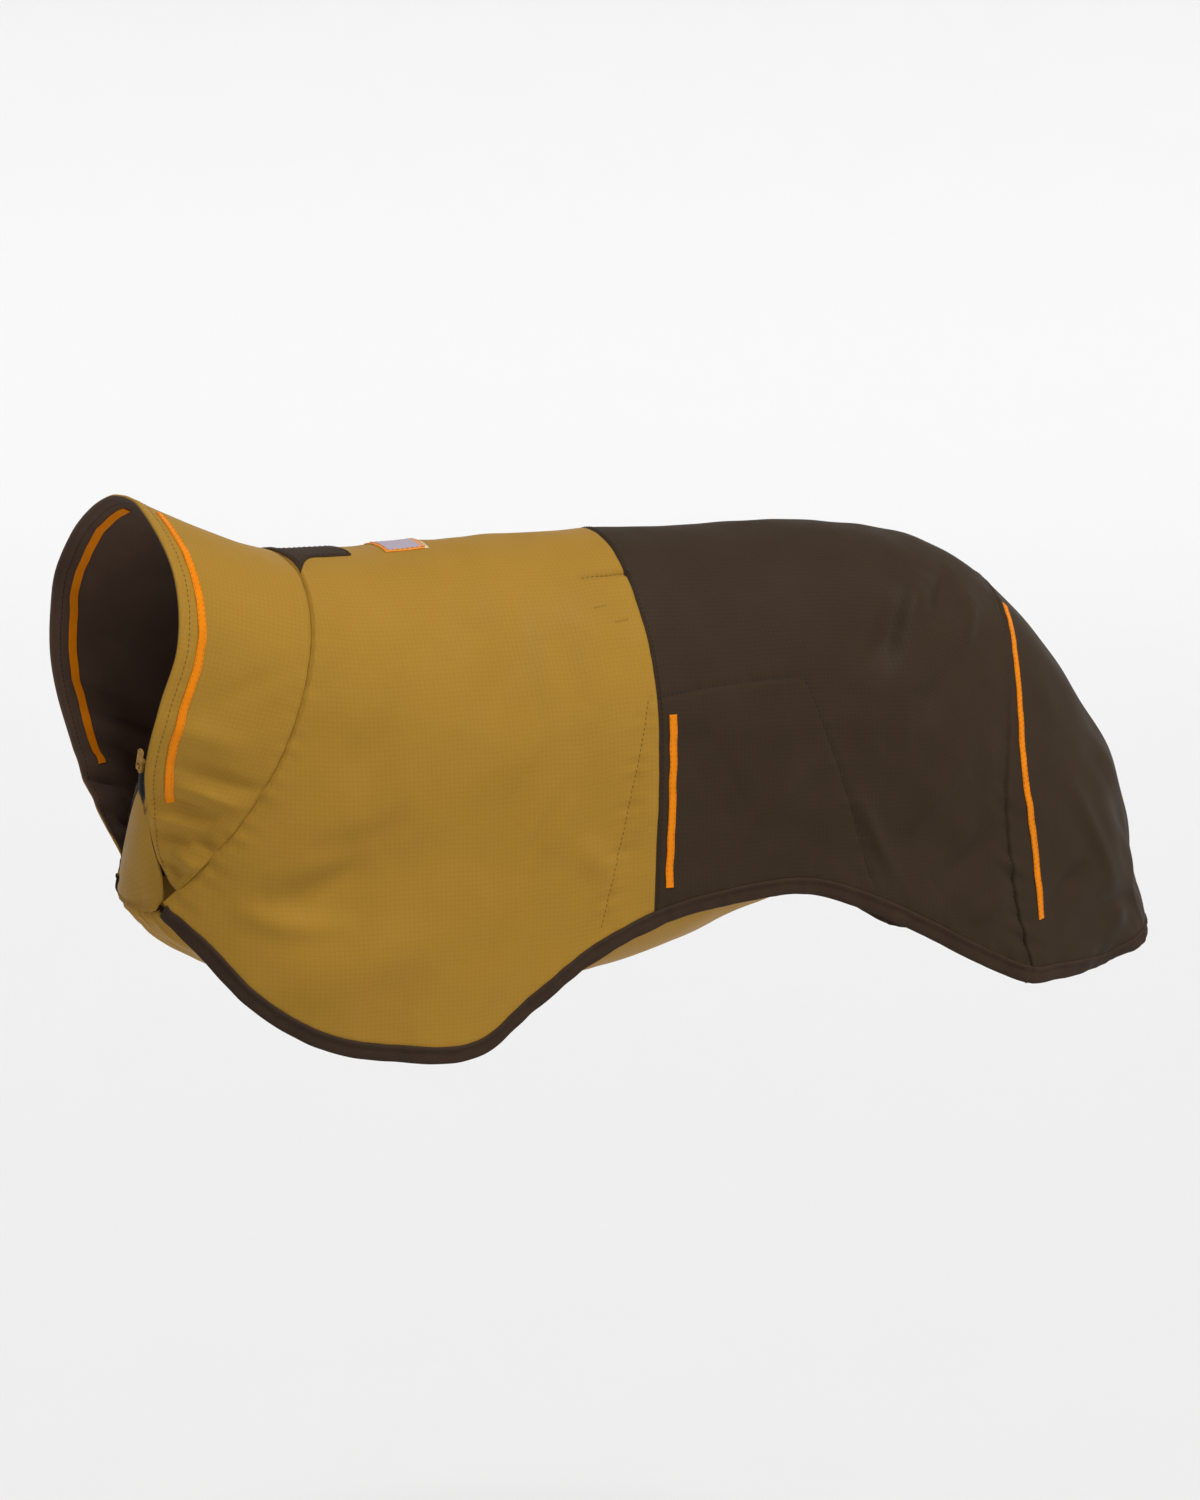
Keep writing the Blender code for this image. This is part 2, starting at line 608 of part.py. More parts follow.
def make_binding(grid, normal):
    """Hem binding: tape folded over the panels' edge, all round from throat to throat."""
    edge, out = round_hem(grid), round_hem(normal)
    across = unit(np.cross(path_tangents(edge), out))
    proud, under = BINDING_TAPE, -SHELL - BINDING_TAPE
    fold = GAP + BINDING_WIDTH
    near = GAP + FACET_ROOM / 2
    profile = [(near, proud), (fold - 1.0, proud), (fold, proud - 1.1), (fold, under + 1.1),
               (fold - 1.0, under), (near, under)]
    edge_band("hem_binding", edge, across, out, profile, "binding")


def make_collar():
    """Outer collar, its lining, and the reflective strips on both faces of each side."""
    rows = np.linspace(0, 1, 6)
    columns = FROM_CENTRE * COLLAR_END
    cloth("collar_shell", collar, rows, columns, COLLAR_CLOTH, "ochre_shell", outward=-1)
    cloth("collar_lining", collar, rows, columns, LINING, "lining",
          inset=COLLAR_CLOTH + GAP, outward=-1)
    outside, inside = GAP + FACET_ROOM, -(COLLAR_CLOTH + LINING + 2 * GAP + STRIP_THICK + FACET_ROOM)
    for side, sign in (("left", -1), ("right", 1)):
        path = []
        for share in np.linspace(0.07, 0.77, 12):
            start = Place(collar, 0.999, sign * share, -1)
            path.append(stepped(collar, 0.999, sign * share, -start.along, STRIP_FROM_RIM * MM, -1))
        ribbon(f"collar_strip_{side}", collar, path, STRIP_WIDTH, STRIP_THICK, "reflective",
               raise_by=outside, outward=-1)
        ribbon(f"lining_strip_{side}", collar, path, STRIP_WIDTH, STRIP_THICK, "reflective",
               raise_by=inside, outward=-1)


def make_body_strips():
    """Upright reflective strips behind the colour seam and behind the rear seam."""
    for strip in BODY_STRIPS:
        seam = T_COLOUR if strip.seam == "colour" else T_REAR
        for side, sign in (("left", -1), ("right", 1)):
            path = []
            for share in np.linspace(0, 1, strip.points):
                s = sign * (strip.top + (strip.bottom - strip.top) * share)
                behind = stepwise(strip.behind, share)
                path.append(stepped(torso, seam, s, Place(torso, seam, s).along, behind * MM))
            ribbon(f"{strip.name}_{side}", torso, path, STRIP_WIDTH, STRIP_THICK, "reflective")


def back_patch(name, rows, slot):
    """A patch on the back, symmetric about the spine, from rows of (behind the seam, half width)."""
    spine_ts = np.linspace(0, T_COLOUR, 120)
    run = lengths(np.array([torso(t, 0.0)[0] for t in spine_ts])) / MM
    ts = np.interp([behind for behind, _ in rows], run, spine_ts)
    halves = [half for _, half in rows]

    def patch(t, share):
        rib_length = lengths(rib_profile(t))[-1] / MM
        return torso(t, np.asarray(share) * np.interp(t, ts, halves) / rib_length)

    cloth(name, patch, ts, np.linspace(-1, 1, 9), PATCH_THICK, slot, inset=-(PATCH_THICK + GAP))


def make_patches():
    back_patch("leash_patch", LEASH_PATCH, "binding")
    label = [(LABEL_FROM_SEAM + LABEL_LENGTH * share, LABEL_WIDTH / 2) for share in (0, 0.5, 1)]
    back_patch("plain_label", label, "label")


def make_front():
    """Throat gusset with its dark edge, belly panel, and the flap inside the zip."""
    cloth("throat_gusset", gusset, np.linspace(0, 1, 8), np.linspace(-1, 1, 11), SHELL,
          "ochre_shell", outward=-1)
    shares = np.linspace(-0.97, 0.97, 12)
    top = gusset(1.0, shares)
    normal = np.array([Place(gusset, 1.0, s, -1).normal for s in shares])
    up = unit(np.cross(normal, path_tangents(top)))
    up *= np.sign(up[:, 2:])
    profile = [(GAP, GAP), (GAP + PIPING_WIDTH, GAP), (GAP + PIPING_WIDTH, -SHELL - GAP),
               (GAP, -SHELL - GAP)]
    edge_band("gusset_piping", top, up, normal, profile, "binding")
    knots = belly_knots()
    middles = (knots[:-1] + knots[1:]) / 2
    cloth("belly_panel", belly, np.sort(np.concatenate([knots, middles[:7]])), np.linspace(-1, 1, 21),
          SHELL, "ochre_shell", outward=-1)


class ZipPlace:
    """Frame on the zip line: up the zip, across towards the gusset, and out of the throat."""

    def __init__(self, share, distance=ZIP_FROM_RIM):
        self.point = from_rim(-share, distance)
        self.up = unit(from_rim(-share + 0.01, distance) - from_rim(-share - 0.01, distance))
        toward = from_rim(-share, distance + 1) - self.point
        self.across = unit(toward - self.up * (toward @ self.up))
        self.out = np.cross(self.across, self.up)
        self.out *= -np.sign(self.out[0])

    def at(self, up, across, out):
        return self.point + (self.up * up + self.across * across + self.out * out) * MM


def prism(place, outline, low, high):
    """Rings of an (up, out) outline swept across the zip from low to high."""
    return [[place.at(up, across, out) for up, out in outline] for across in (low, high)]


def half_ring(radius, foot):
    """An arch over the pull tab's axis, as (up, out) points from one foot to the other."""
    turns = np.linspace(0, math.pi, 7)
    arch = [(radius * math.cos(turn), PIVOT_HEIGHT + radius * math.sin(turn)) for turn in turns]
    return [(radius, foot)] + arch + [(-radius, foot)]


def make_slider():
    """Zip slider with its bridge, at the top of the closed chain. The bridge carries the tab."""
    place = ZipPlace(SLIDER_AT)
    long, half, thick = SLIDER_LENGTH, SLIDER_WIDTH / 2, SLIDER_THICK / 2
    corner = SLIDER_CORNER
    outline = [(GAP, -half + corner), (GAP, half - corner), (long - corner, half), (long, half - corner),
               (long, -half + corner), (long - corner, -half)]
    rings = [[place.at(up, across, out) for up, across in outline] for out in (-thick, thick)]
    body = tube("zip_slider", rings, "zip_slider")
    pivot = ZipPlace(SLIDER_AT)
    pivot.point = place.at(long / 2, 0, thick)
    arch = half_ring(BRIDGE_OUTER, -BRIDGE_SINK) + half_ring(BRIDGE_INNER, -BRIDGE_SINK)[::-1]
    bridge = tube("slider_bridge", prism(pivot, arch, -BRIDGE_WIDTH / 2, BRIDGE_WIDTH / 2), "zip_slider")
    join = body.modifiers.new("bridge", "BOOLEAN")
    join.operation = "UNION"
    join.object = bridge
    bridge.hide_render = True
    bridge.display_type = "WIRE"
    return pivot


def make_pull_tab(pivot):
    """Pull tab: a plate with a window that the bridge passes through. It turns about its bar."""
    half, bar = TAB_WIDTH / 2, TAB_THICK / 2
    window_half, window_end = half - TAB_FRAME, bar + TAB_WINDOW
    cut, middle = SLIDER_CORNER, window_half / 3
    outer = [(-bar, -half), (-bar, half), (TAB_LENGTH - cut, half), (TAB_LENGTH, half - cut),
             (TAB_LENGTH, -half + cut), (TAB_LENGTH - cut, -half)]
    inner = [(bar, -window_half), (bar, window_half), (window_end, window_half), (window_end, middle),
             (window_end, -middle), (window_end, -window_half)]
    axis = pivot.at(0, 0, PIVOT_HEIGHT)
    loops = [[(up, across, out) for up, across in loop] for out in (bar, -bar) for loop in (outer, inner)]
    points = [(pivot.up * u + pivot.across * a + pivot.out * o) * MM for loop in loops for u, a, o in loop]
    count = len(outer)
    faces = []
    for i in range(count):
        k = (i + 1) % count
        for a, b in ((0, 1), (1, 3), (3, 2), (2, 0)):
            faces.append((a * count + i, a * count + k, b * count + k, b * count + i))
    tab = add_mesh("zip_pull_tab", points, faces, "zip_slider")
    tab.location = axis


def make_zip():
    """Closed zip chain from the throat up to the slider."""
    rings = []
    for share in np.linspace(COLLAR_END - 0.01, SLIDER_AT, 16):
        place = ZipPlace(share)
        half, thick = ZIP_WIDTH / 2, ZIP_THICK / 2
        rings.append([place.at(0, -half, thick), place.at(0, half, thick),
                      place.at(0, half, -thick), place.at(0, -half, -thick)])
    tube("zip_chain", rings, "zip_plastic")


def guard_width(t):
    """Share of the flap's full width: it narrows to its upper end."""
    return 0.12 + 0.88 * math.sqrt(max(math.cos(math.pi / 2 * max(2 * t - 1, 0)), 0))


def make_zip_guard():
    """Dark flap inside the zip, from the throat up to where the collar stands free."""
    def guard(t, share):
        s = -(GUARD_FROM + (GUARD_TO - GUARD_FROM) * t)
        seat = Place(collar, GUARD_AT, s, -1)
        near = (COLLAR_CLOTH + LINING + STRIP_THICK + 2 * (GAP + FACET_ROOM)) * MM
        reach = near + np.atleast_1d(share)[:, None] * GUARD_WIDTH * guard_width(t) * MM
        return seat.point - seat.normal * reach

    cloth("zip_guard", guard, np.linspace(0, 1, 12), np.linspace(0, 1, 4), LINING, "lining")


def main():
    for old in list(bpy.data.objects):
        bpy.data.objects.remove(old)
    make_shell()
    make_collar()
    make_body_strips()
    make_patches()
    make_front()
    make_zip()
    make_pull_tab(make_slider())
    make_zip_guard()


main()
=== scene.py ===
"""Looks of a dog raincoat: ripstop shell, standing collar on a short zip, bound hem, bright strips.

Metres, +Z up. -X is the head end, +X the tail, -Y the wearer's left side. The tables and surfaces
are those of the solids. A surface is a function of t, along the piece, and s, across it.
"""

import math
from collections import namedtuple
from functools import lru_cache

import bpy
import numpy as np
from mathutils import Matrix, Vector


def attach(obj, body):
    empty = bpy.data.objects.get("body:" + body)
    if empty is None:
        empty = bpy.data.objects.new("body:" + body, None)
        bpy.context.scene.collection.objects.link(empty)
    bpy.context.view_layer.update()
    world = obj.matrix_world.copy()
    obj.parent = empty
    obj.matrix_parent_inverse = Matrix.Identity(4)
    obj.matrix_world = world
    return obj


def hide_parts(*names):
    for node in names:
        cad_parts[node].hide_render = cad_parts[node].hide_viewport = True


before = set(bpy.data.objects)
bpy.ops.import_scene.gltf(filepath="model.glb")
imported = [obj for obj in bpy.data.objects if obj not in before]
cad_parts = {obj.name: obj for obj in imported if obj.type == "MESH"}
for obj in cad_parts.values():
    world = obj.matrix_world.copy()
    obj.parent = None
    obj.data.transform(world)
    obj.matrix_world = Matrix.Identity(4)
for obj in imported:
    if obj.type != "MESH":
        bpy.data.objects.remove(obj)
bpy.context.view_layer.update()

MM = 0.001
COAT = "coat"                # the body that all the cloth rides on

# ---- driving sizes, millimetres -------------------------------------------------------------
SHELL = 1.4              # body cloth wall
COLLAR_CLOTH = 1.1       # outer collar wall
LINING = 1.0             # collar lining wall
GAP = 0.3                # clearance between pieces that are sewn together
FACET_ROOM = 0.5         # more clearance where a strip crosses the facets of a curved wall
STRIP_WIDTH = 5.0        # reflective strips
STRIP_THICK = 0.6
STRIP_FROM_RIM = 13.0    # strip centre to collar rim
COLLAR_CLEAR = 0.8       # between the collar's lower edge and the body shell
COLLAR_CLEAR_THROAT = 2.2    # added at the throat, where the collar folds inward
COLLAR_DIP = 2.6         # hollow of the collar between its seam and its rim
RIGHT_FLAP_LIFT = 0.055  # share by which the right shoulder flap hangs higher
RIGHT_FLANK_LIFT = 0.055     # and the right flank
WING_INSET = 0.9         # the belly panel's wings lie this far inside the side panels
ZIP_FROM_RIM = 5.3       # chain and slider centre to the collar rim
GUSSET_FROM_RIM = 7.7
ZIP_LEAN = 0.45          # how far the zip leans forward at the slider
PIPING_WIDTH = 2.6       # dark edge of the gusset
THROAT_BULGE = 5.5       # how far the throat seam bows forward in the middle
BULGE_END = 0.12         # where the belly panel no longer bows, as t
GUSSET_DROP = 8.0        # the gusset's right end lies this far below the rim's
GUARD_WIDTH = 13.0       # flap behind the zip
LABEL_LENGTH, LABEL_WIDTH = 28.0, 34.0
LABEL_FROM_SEAM = 64.0   # neck seam to the label along the back
PATCH_THICK = 0.7        # leash patch and label

# ---- torso sections -------------------------------------------------------------------------
# One row for each section ("rib") from the neck seam to the tail hem. A rib lies in a plane across
# the coat, from a point on the back line (spine) to a point on the hem (foot). half_width is its
# widest half, foot_half its half at the hem, crown the depth of the widest point as a share of the
# rib's height, corner how square the back is across (2 is an ellipse, less is more like a roof),
# and bow how far the rib's middle is pushed back.
Rib = namedtuple("Rib", "spine_x spine_z foot_x foot_z half_width foot_half crown corner bow")
TORSO_RIBS = [
    Rib(-100, -1, -190, -197, 86, 42, 0.41, 2.4, 14),      # neck seam
    Rib(-86, -1, -171, -217, 87, 54, 0.41, 2.3, 13),
    Rib(-66, -1, -146, -247, 90, 67, 0.42, 2.1, 9),
    Rib(-42, -1, -110, -273, 94, 80, 0.42, 2.0, 5),
    Rib(-14, 0, -62, -286, 96, 87, 0.42, 1.9, 2),         # lowest part of the shoulder flap
    Rib(14, 0, -12, -288, 97, 91, 0.43, 1.85, 0),
    Rib(38, 0, 21, -265, 98, 93, 0.45, 1.85, 0),
    Rib(68, 0, 58, -240, 98, 95, 0.49, 1.8, 0),
    Rib(107, 0, 103, -222, 97, 95, 0.52, 1.8, 0),         # colour seam
    Rib(160, -2, 160, -213, 96, 94, 0.54, 1.8, 0),
    Rib(212, -3, 212, -213, 96, 93, 0.54, 1.8, -3),
    Rib(262, -5, 258, -229, 96, 93, 0.52, 1.8, -7),
    Rib(305, -11, 300, -250, 96, 91, 0.51, 1.85, -12),
    Rib(345, -23, 338, -271, 94, 89, 0.51, 1.9, -18),
    Rib(385, -48, 381, -291, 88, 84, 0.53, 2.0, -26),     # rear seam
    Rib(422, -82, 404, -293, 81, 79, 0.60, 2.0, -18),
    Rib(453, -122, 424, -295, 73, 72, 0.70, 2.0, -10),
    Rib(478, -163, 438, -296, 66, 66, 0.80, 2.0, -4),
    Rib(497, -208, 450, -297, 60, 60, 0.92, 2.0, 0),
    Rib(509, -250, 458, -297, 56, 56, 1.0, 2.0, 0),
    Rib(516, -284, 464, -296, 53, 53, 1.0, 2.0, 0),       # tail hem
]
NECK_ROW, COLOUR_SEAM_ROW, REAR_SEAM_ROW = 0, 8, 14

# Collar rim from the nape to the throat. The collar is turned a little towards the wearer's left:
# turn is how far the left side lies behind this line and the right side before it.
RimPoint = namedtuple("RimPoint", "x half z turn")
COLLAR_RIM = [
    RimPoint(-192, 0, 39, 0),
    RimPoint(-193, 17, 37, 2),
    RimPoint(-195, 36, 28, 5),
    RimPoint(-196, 60, 10, 8),
    RimPoint(-199, 76, -14, 10),
    RimPoint(-202, 82, -40, 9),
    RimPoint(-207, 81, -66, 5),
    RimPoint(-209, 77, -90, 1),
    RimPoint(-208, 68, -112, -1),
    RimPoint(-204, 57, -134, 0),
    RimPoint(-199, 48, -152, 0),
    RimPoint(-193, 42, -168, 0),
    RimPoint(-184, 39, -187, 0),
]
COLLAR_SEAM_END = 0.965      # share of the neck rib that the collar is sewn to, down each side
COLLAR_END = 0.985           # where the collar's cloth ends, just short of its throat corners
SLIDER_AT = 0.705            # share of the left rim, nape to throat, that is open above the slider
GUARD_FROM, GUARD_TO = 0.90, 0.40    # ends of the flap behind the zip, as shares of the left rim
GUARD_AT = 0.88              # its root, as a share of the way from the neck seam to the rim

# Belly panel: the centre line from the throat seam back under the chest, the half width of the
# wearer's underside there, and half_cut, the panel's own half width along the cloth.
BellyRow = namedtuple("BellyRow", "x z half rise half_cut")
BELLY_ROWS = [
    BellyRow(-191, -205, 31, 4, 31),
    BellyRow(-182, -221, 44, 17, 40),
    BellyRow(-160, -238, 58, 28, 49),
    BellyRow(-115, -256, 68, 42, 54),
    BellyRow(-60, -268, 78, 60, 58),
    BellyRow(-10, -273, 86, 80, 62),
    BellyRow(40, -277, 91, 95, 66),
    BellyRow(70, -275, 92, 100, 76),
    BellyRow(84, -276, 92, 100, 140),
    BellyRow(98, -274, 92, 100, 196),
    BellyRow(150, -263, 92, 95, 198),
    BellyRow(202, -247, 90, 90, 194),
    BellyRow(221, -242, 90, 88, 146),
    BellyRow(238, -238, 90, 86, 92),
]
WING_TOP_Z, WING_BLEND = -60.0, 45.0     # height limit of the wings, and where they leave the belly

# Leash patch: half width against the distance behind the neck seam.
PatchRow = namedtuple("PatchRow", "behind half")
LEASH_PATCH = [
    PatchRow(1.2, 40), PatchRow(4, 34), PatchRow(8, 27), PatchRow(12, 22.5), PatchRow(25, 20.5),
    PatchRow(42, 18),
]

# Body strips: the seam they follow, their ends as s, and their distances behind the seam at equal
# steps from the top end to the bottom end.
BodyStrip = namedtuple("BodyStrip", "name seam top bottom points behind")
BODY_STRIPS = [
    BodyStrip("side_strip", "colour", 0.555, 0.95, 7, (9.6, 9.6)),
    BodyStrip("rear_strip", "rear", 0.13, 0.865, 15, (6.5, 6, 8.2, 11.5, 15.5, 21, 24.5, 24, 20.5)),
]

# Largest folds of the shell: soft troughs (negative) and ridges (positive) that run from one
# place to another on a surface. along and across are t and s on that surface.
Fold = namedtuple("Fold", "along_a across_a along_b across_b width depth")
TORSO_FOLDS = [
    Fold(0.03, 0.90, 0.16, 0.66, 18, -3.0),      # from the throat corner back over the shoulder
    Fold(0.08, 0.96, 0.20, 0.74, 16, 2.4),
    Fold(0.30, 0.16, 0.20, 0.42, 20, -1.8),
    Fold(0.60, 0.28, 0.53, 0.66, 20, -3.2),      # haunch, falling forward and down
    Fold(0.655, 0.24, 0.62, 0.60, 18, 2.6),
    Fold(0.70, 0.62, 0.60, 0.90, 18, -2.8),      # above the rear hem
    Fold(0.86, 0.35, 0.95, 0.85, 20, 2.6),       # tail panel
    Fold(0.905, 0.0, 0.885, 0.30, 15, 3.2),      # ridge and hollow across the tail panel
    Fold(0.955, 0.06, 0.975, 0.50, 13, -6.0),
]
COLLAR_FOLDS = [
    Fold(0.12, 0.84, 0.90, 0.79, 13, -2.4),      # creases towards the throat
    Fold(0.20, 0.74, 0.85, 0.66, 14, -2.0),
]


# ---- curves and tables ----------------------------------------------------------------------
def smooth_table(knots, rows, at):
    """Rows interpolated by a smooth curve through their values, at one or many places."""
    knots, rows = np.asarray(knots, float), np.asarray(rows, float)
    steps = np.diff(knots)
    slopes = np.diff(rows, axis=0) / steps[:, None]
    tangents = np.vstack([slopes[:1], slopes])
    tangents[1:-1] = (slopes[:-1] * steps[1:, None] + slopes[1:] * steps[:-1, None]) / (
        steps[:-1] + steps[1:])[:, None]
    at = np.clip(np.atleast_1d(at), knots[0], knots[-1])
    i = np.clip(np.searchsorted(knots, at, side="right") - 1, 0, len(steps) - 1)
    step = steps[i][:, None]
    u = ((at - knots[i]) / steps[i])[:, None]
    start, end = 2 * u**3 - 3 * u**2 + 1, -2 * u**3 + 3 * u**2
    lead, trail = u**3 - 2 * u**2 + u, u**3 - u**2
    return start * rows[i] + end * rows[i + 1] + step * (lead * tangents[i] + trail * tangents[i + 1])


def lengths(points):
    """Running length along a row of points, from 0."""
    return np.concatenate([[0], np.cumsum(np.linalg.norm(np.diff(points, axis=0), axis=1))])


def read_along(where, run, rows):
    """Rows of values that stand at run along a line, read at other places on it."""
    return np.column_stack([np.interp(where, run, column) for column in np.asarray(rows).T])


def by_length(points, shares):
    """Points at these shares of a curve's length."""
    run = lengths(points)
    return read_along(np.asarray(shares) * run[-1], run, points)


def unit(vector):
    """The vectors scaled to length 1."""
    return vector / np.linalg.norm(vector, axis=-1, keepdims=True)


def rib_knots():
    """Place of each torso rib along the coat, from 0 at the neck seam to 1 at the tail hem."""
    table = np.array(TORSO_RIBS)
    middle = (lengths(table[:, 0:2]) + lengths(table[:, 2:4])) / 2
    return middle / middle[-1]


RIB_KNOTS = rib_knots()
T_NECK, T_COLOUR, T_REAR = (RIB_KNOTS[row] for row in (NECK_ROW, COLOUR_SEAM_ROW, REAR_SEAM_ROW))
RIB_SAMPLES = 64


@lru_cache(maxsize=None)
def rib_profile(t):
    """Right half of a torso section from the spine to the foot, as points in metres."""
    rib = Rib(*smooth_table(RIB_KNOTS, TORSO_RIBS, t)[0])
    spine, foot = np.array([rib.spine_x, 0, rib.spine_z]), np.array([rib.foot_x, 0, rib.foot_z])
    down = foot - spine
    back = unit(np.array([-down[2], 0, down[0]]))
    crown = min(rib.crown, 1.0)
    angle = np.linspace(0, math.pi / 2, RIB_SAMPLES)
    depth_top = crown * (1 - np.cos(angle) ** (2 / rib.corner))
    half_top = rib.half_width * np.sin(angle) ** (2 / rib.corner)
    fall = np.linspace(0, 1, RIB_SAMPLES)[1:] if crown < 1 else np.empty(0)
    depth = np.concatenate([depth_top, crown + (1 - crown) * fall])
    half = np.concatenate([half_top, rib.half_width - (rib.half_width - rib.foot_half) * fall**2])
    points = spine + depth[:, None] * down + (rib.bow * np.sin(math.pi * depth))[:, None] * back
    points[:, 1] = half
    return points * MM


def mirrored(half_curve, s):
    """Points of a mirrored curve: s from -1 at the left end, over 0 in the middle, to 1."""
    s = np.atleast_1d(s)
    points = by_length(half_curve, np.abs(s))
    points[:, 1] *= np.sign(s)
    return points


# ---- surfaces -------------------------------------------------------------------------------
FOLD_ENDS = 0.35             # height of a fold at its ends, as a share of its middle's
BASE_STEP, PLACE_STEP = 0.004, 0.003     # steps in t and s that directions are measured over
RIM_STEP = 0.01              # and in s, along the collar rim
CLEAR_TURN = 10              # how late the collar's clearance grows towards the throat
CORNER_TURN = 4              # how late the zip line turns to the gusset's corner
RIB_PROBES = 40              # ribs that tell which t stands at which x
WING_REACH, WING_SAMPLES = 0.2, 60       # how far up the side panel is followed for a wing, as s


def stepwise(values, share):
    """A smooth curve through values that stand at equal steps of a path, read at a share of it."""
    return float(smooth_table(np.linspace(0, 1, len(values)), np.array([values]).T, share)[0, 0])


def fold_depth(folds, t, s, scale):
    """Sum of the folds' heights at (t, s), in metres. scale is the surface's size along t and s."""
    here = np.stack(np.broadcast_arrays(t * scale[0], s * scale[1]), -1)
    total = np.zeros(here.shape[:-1])
    for fold in folds:
        a = np.array([fold.along_a * scale[0], fold.across_a * scale[1]])
        b = np.array([fold.along_b * scale[0], fold.across_b * scale[1]])
        run = b - a
        share = np.clip(((here - a) @ run) / (run @ run), 0, 1)
        away = np.linalg.norm(here - a - share[..., None] * run, axis=-1)
        taper = FOLD_ENDS + (1 - FOLD_ENDS) * np.sin(math.pi * share)
        total += fold.depth * taper * np.exp(-((away / fold.width) ** 2))
    return total * MM


def moved_out(base, t, s, heights):
    """Points of base(t, s) moved along the surface's normal by heights."""
    s = np.atleast_1d(s)
    along = base(min(t + BASE_STEP, 1), s) - base(max(t - BASE_STEP, 0), s)
    across = base(t, np.clip(s + BASE_STEP, -1, 1)) - base(t, np.clip(s - BASE_STEP, -1, 1))
    return base(t, s) + unit(np.cross(along, across)) * np.asarray(heights)[:, None]


TORSO_SIZE = (720.0, 280.0)      # millimetres along the back, and from the spine to the hem
COLLAR_SIZE = (90.0, 280.0)
FLAP_AT, FLAP_SPREAD = 0.10, 0.07
FLANK_AT, FLANK_SPREAD = 0.665, 0.055


def torso_base(t, s):
    """The shell without folds. The right shoulder flap and flank are drawn up a little."""
    lift = RIGHT_FLAP_LIFT * math.exp(-(((t - FLAP_AT) / FLAP_SPREAD) ** 2))
    lift += RIGHT_FLANK_LIFT * math.exp(-(((t - FLANK_AT) / FLANK_SPREAD) ** 2))
    s = np.atleast_1d(s)
    return mirrored(rib_profile(t), np.where(s > 0, s * (1 - lift), s))


def torso(t, s):
    """Outer face of the body shell. t: 0 neck seam to 1 tail hem. s: -1 left hem to 1 right hem."""
    s = np.atleast_1d(s)
    return moved_out(torso_base, t, s, fold_depth(TORSO_FOLDS, t, np.abs(s), TORSO_SIZE))


def neck_seam(s):
    """Where the collar meets the body shell."""
    return torso(T_NECK, np.atleast_1d(s) * COLLAR_SEAM_END)


RIM_SAMPLES = 80


@lru_cache(maxsize=None)
def rim_curve():
    fine = np.linspace(0, len(COLLAR_RIM) - 1, RIM_SAMPLES)
    return smooth_table(range(len(COLLAR_RIM)), COLLAR_RIM, fine) * MM


def collar_rim(s):
    """Free edge of the collar."""
    s = np.atleast_1d(s)
    table = rim_curve()
    run = lengths(table[:, :3])
    points = read_along(np.abs(s) * run[-1], run, table)
    points[:, 1] *= np.sign(s)
    points[:, 0] -= np.sign(s) * points[:, 3]
    return points[:, :3]


def collar_base(t, s):
    """The collar without folds: straight lines from the neck seam to the rim."""
    seam, rim = neck_seam(s), collar_rim(s)
    reach = rim - seam
    clear = (COLLAR_CLEAR + COLLAR_CLEAR_THROAT * np.abs(s) ** CLEAR_TURN) * MM
    start = (clear / np.linalg.norm(reach, axis=1))[:, None]
    return seam + reach * (start + (1 - start) * t)


def collar(t, s):
    """Outer face of the collar. t: 0 neck seam to 1 rim. s: -1 left throat corner to 1 right."""
    s = np.atleast_1d(s)
    dip = COLLAR_DIP * MM * math.sin(math.pi * t) * np.cos(s * math.pi / 2)
    heights = dip - fold_depth(COLLAR_FOLDS, t, np.abs(s), COLLAR_SIZE)
    return moved_out(collar_base, t, s, heights)


def belly_knots():
    run = lengths(np.array([(row.x, 0, row.z) for row in BELLY_ROWS]))
    return run / run[-1]


@lru_cache(maxsize=None)
def belly_row(t):
    knots = belly_knots()
    row = BellyRow(*smooth_table(knots, BELLY_ROWS, t)[0])
    return row._replace(half_cut=np.interp(t, knots, [each.half_cut for each in BELLY_ROWS]))


def shell_t_at_x():
    """Where upright torso ribs stand: x at mid height, and t."""
    ts = np.linspace(0, T_REAR, RIB_PROBES)
    xs = [rib_profile(t)[RIB_SAMPLES, 0] for t in ts]
    return np.array(xs), ts


SHELL_X, SHELL_T = shell_t_at_x()


def wing_profile(row, z_from, side):
    """The belly wing above the wearer's underside: the side panel's own points, moved in."""
    t = float(np.interp(row.x * MM, SHELL_X, SHELL_T))
    s = np.linspace(1.0, WING_REACH, WING_SAMPLES) * side
    inward = np.full(len(s), -(SHELL + WING_INSET) * MM)
    panel = moved_out(torso, t, s, inward) / MM
    top = np.linspace(z_from, WING_TOP_Z, RIB_SAMPLES)[1:]
    widths = np.abs(np.interp(top, panel[:, 2], panel[:, 1]))
    xs = np.interp(top, panel[:, 2], panel[:, 0])
    share = np.clip((top - z_from) / WING_BLEND, 0, 1)
    blend = share * share * (3 - 2 * share)
    return np.column_stack([row.x + (xs - row.x) * blend, row.half + (widths - row.half) * blend, top])


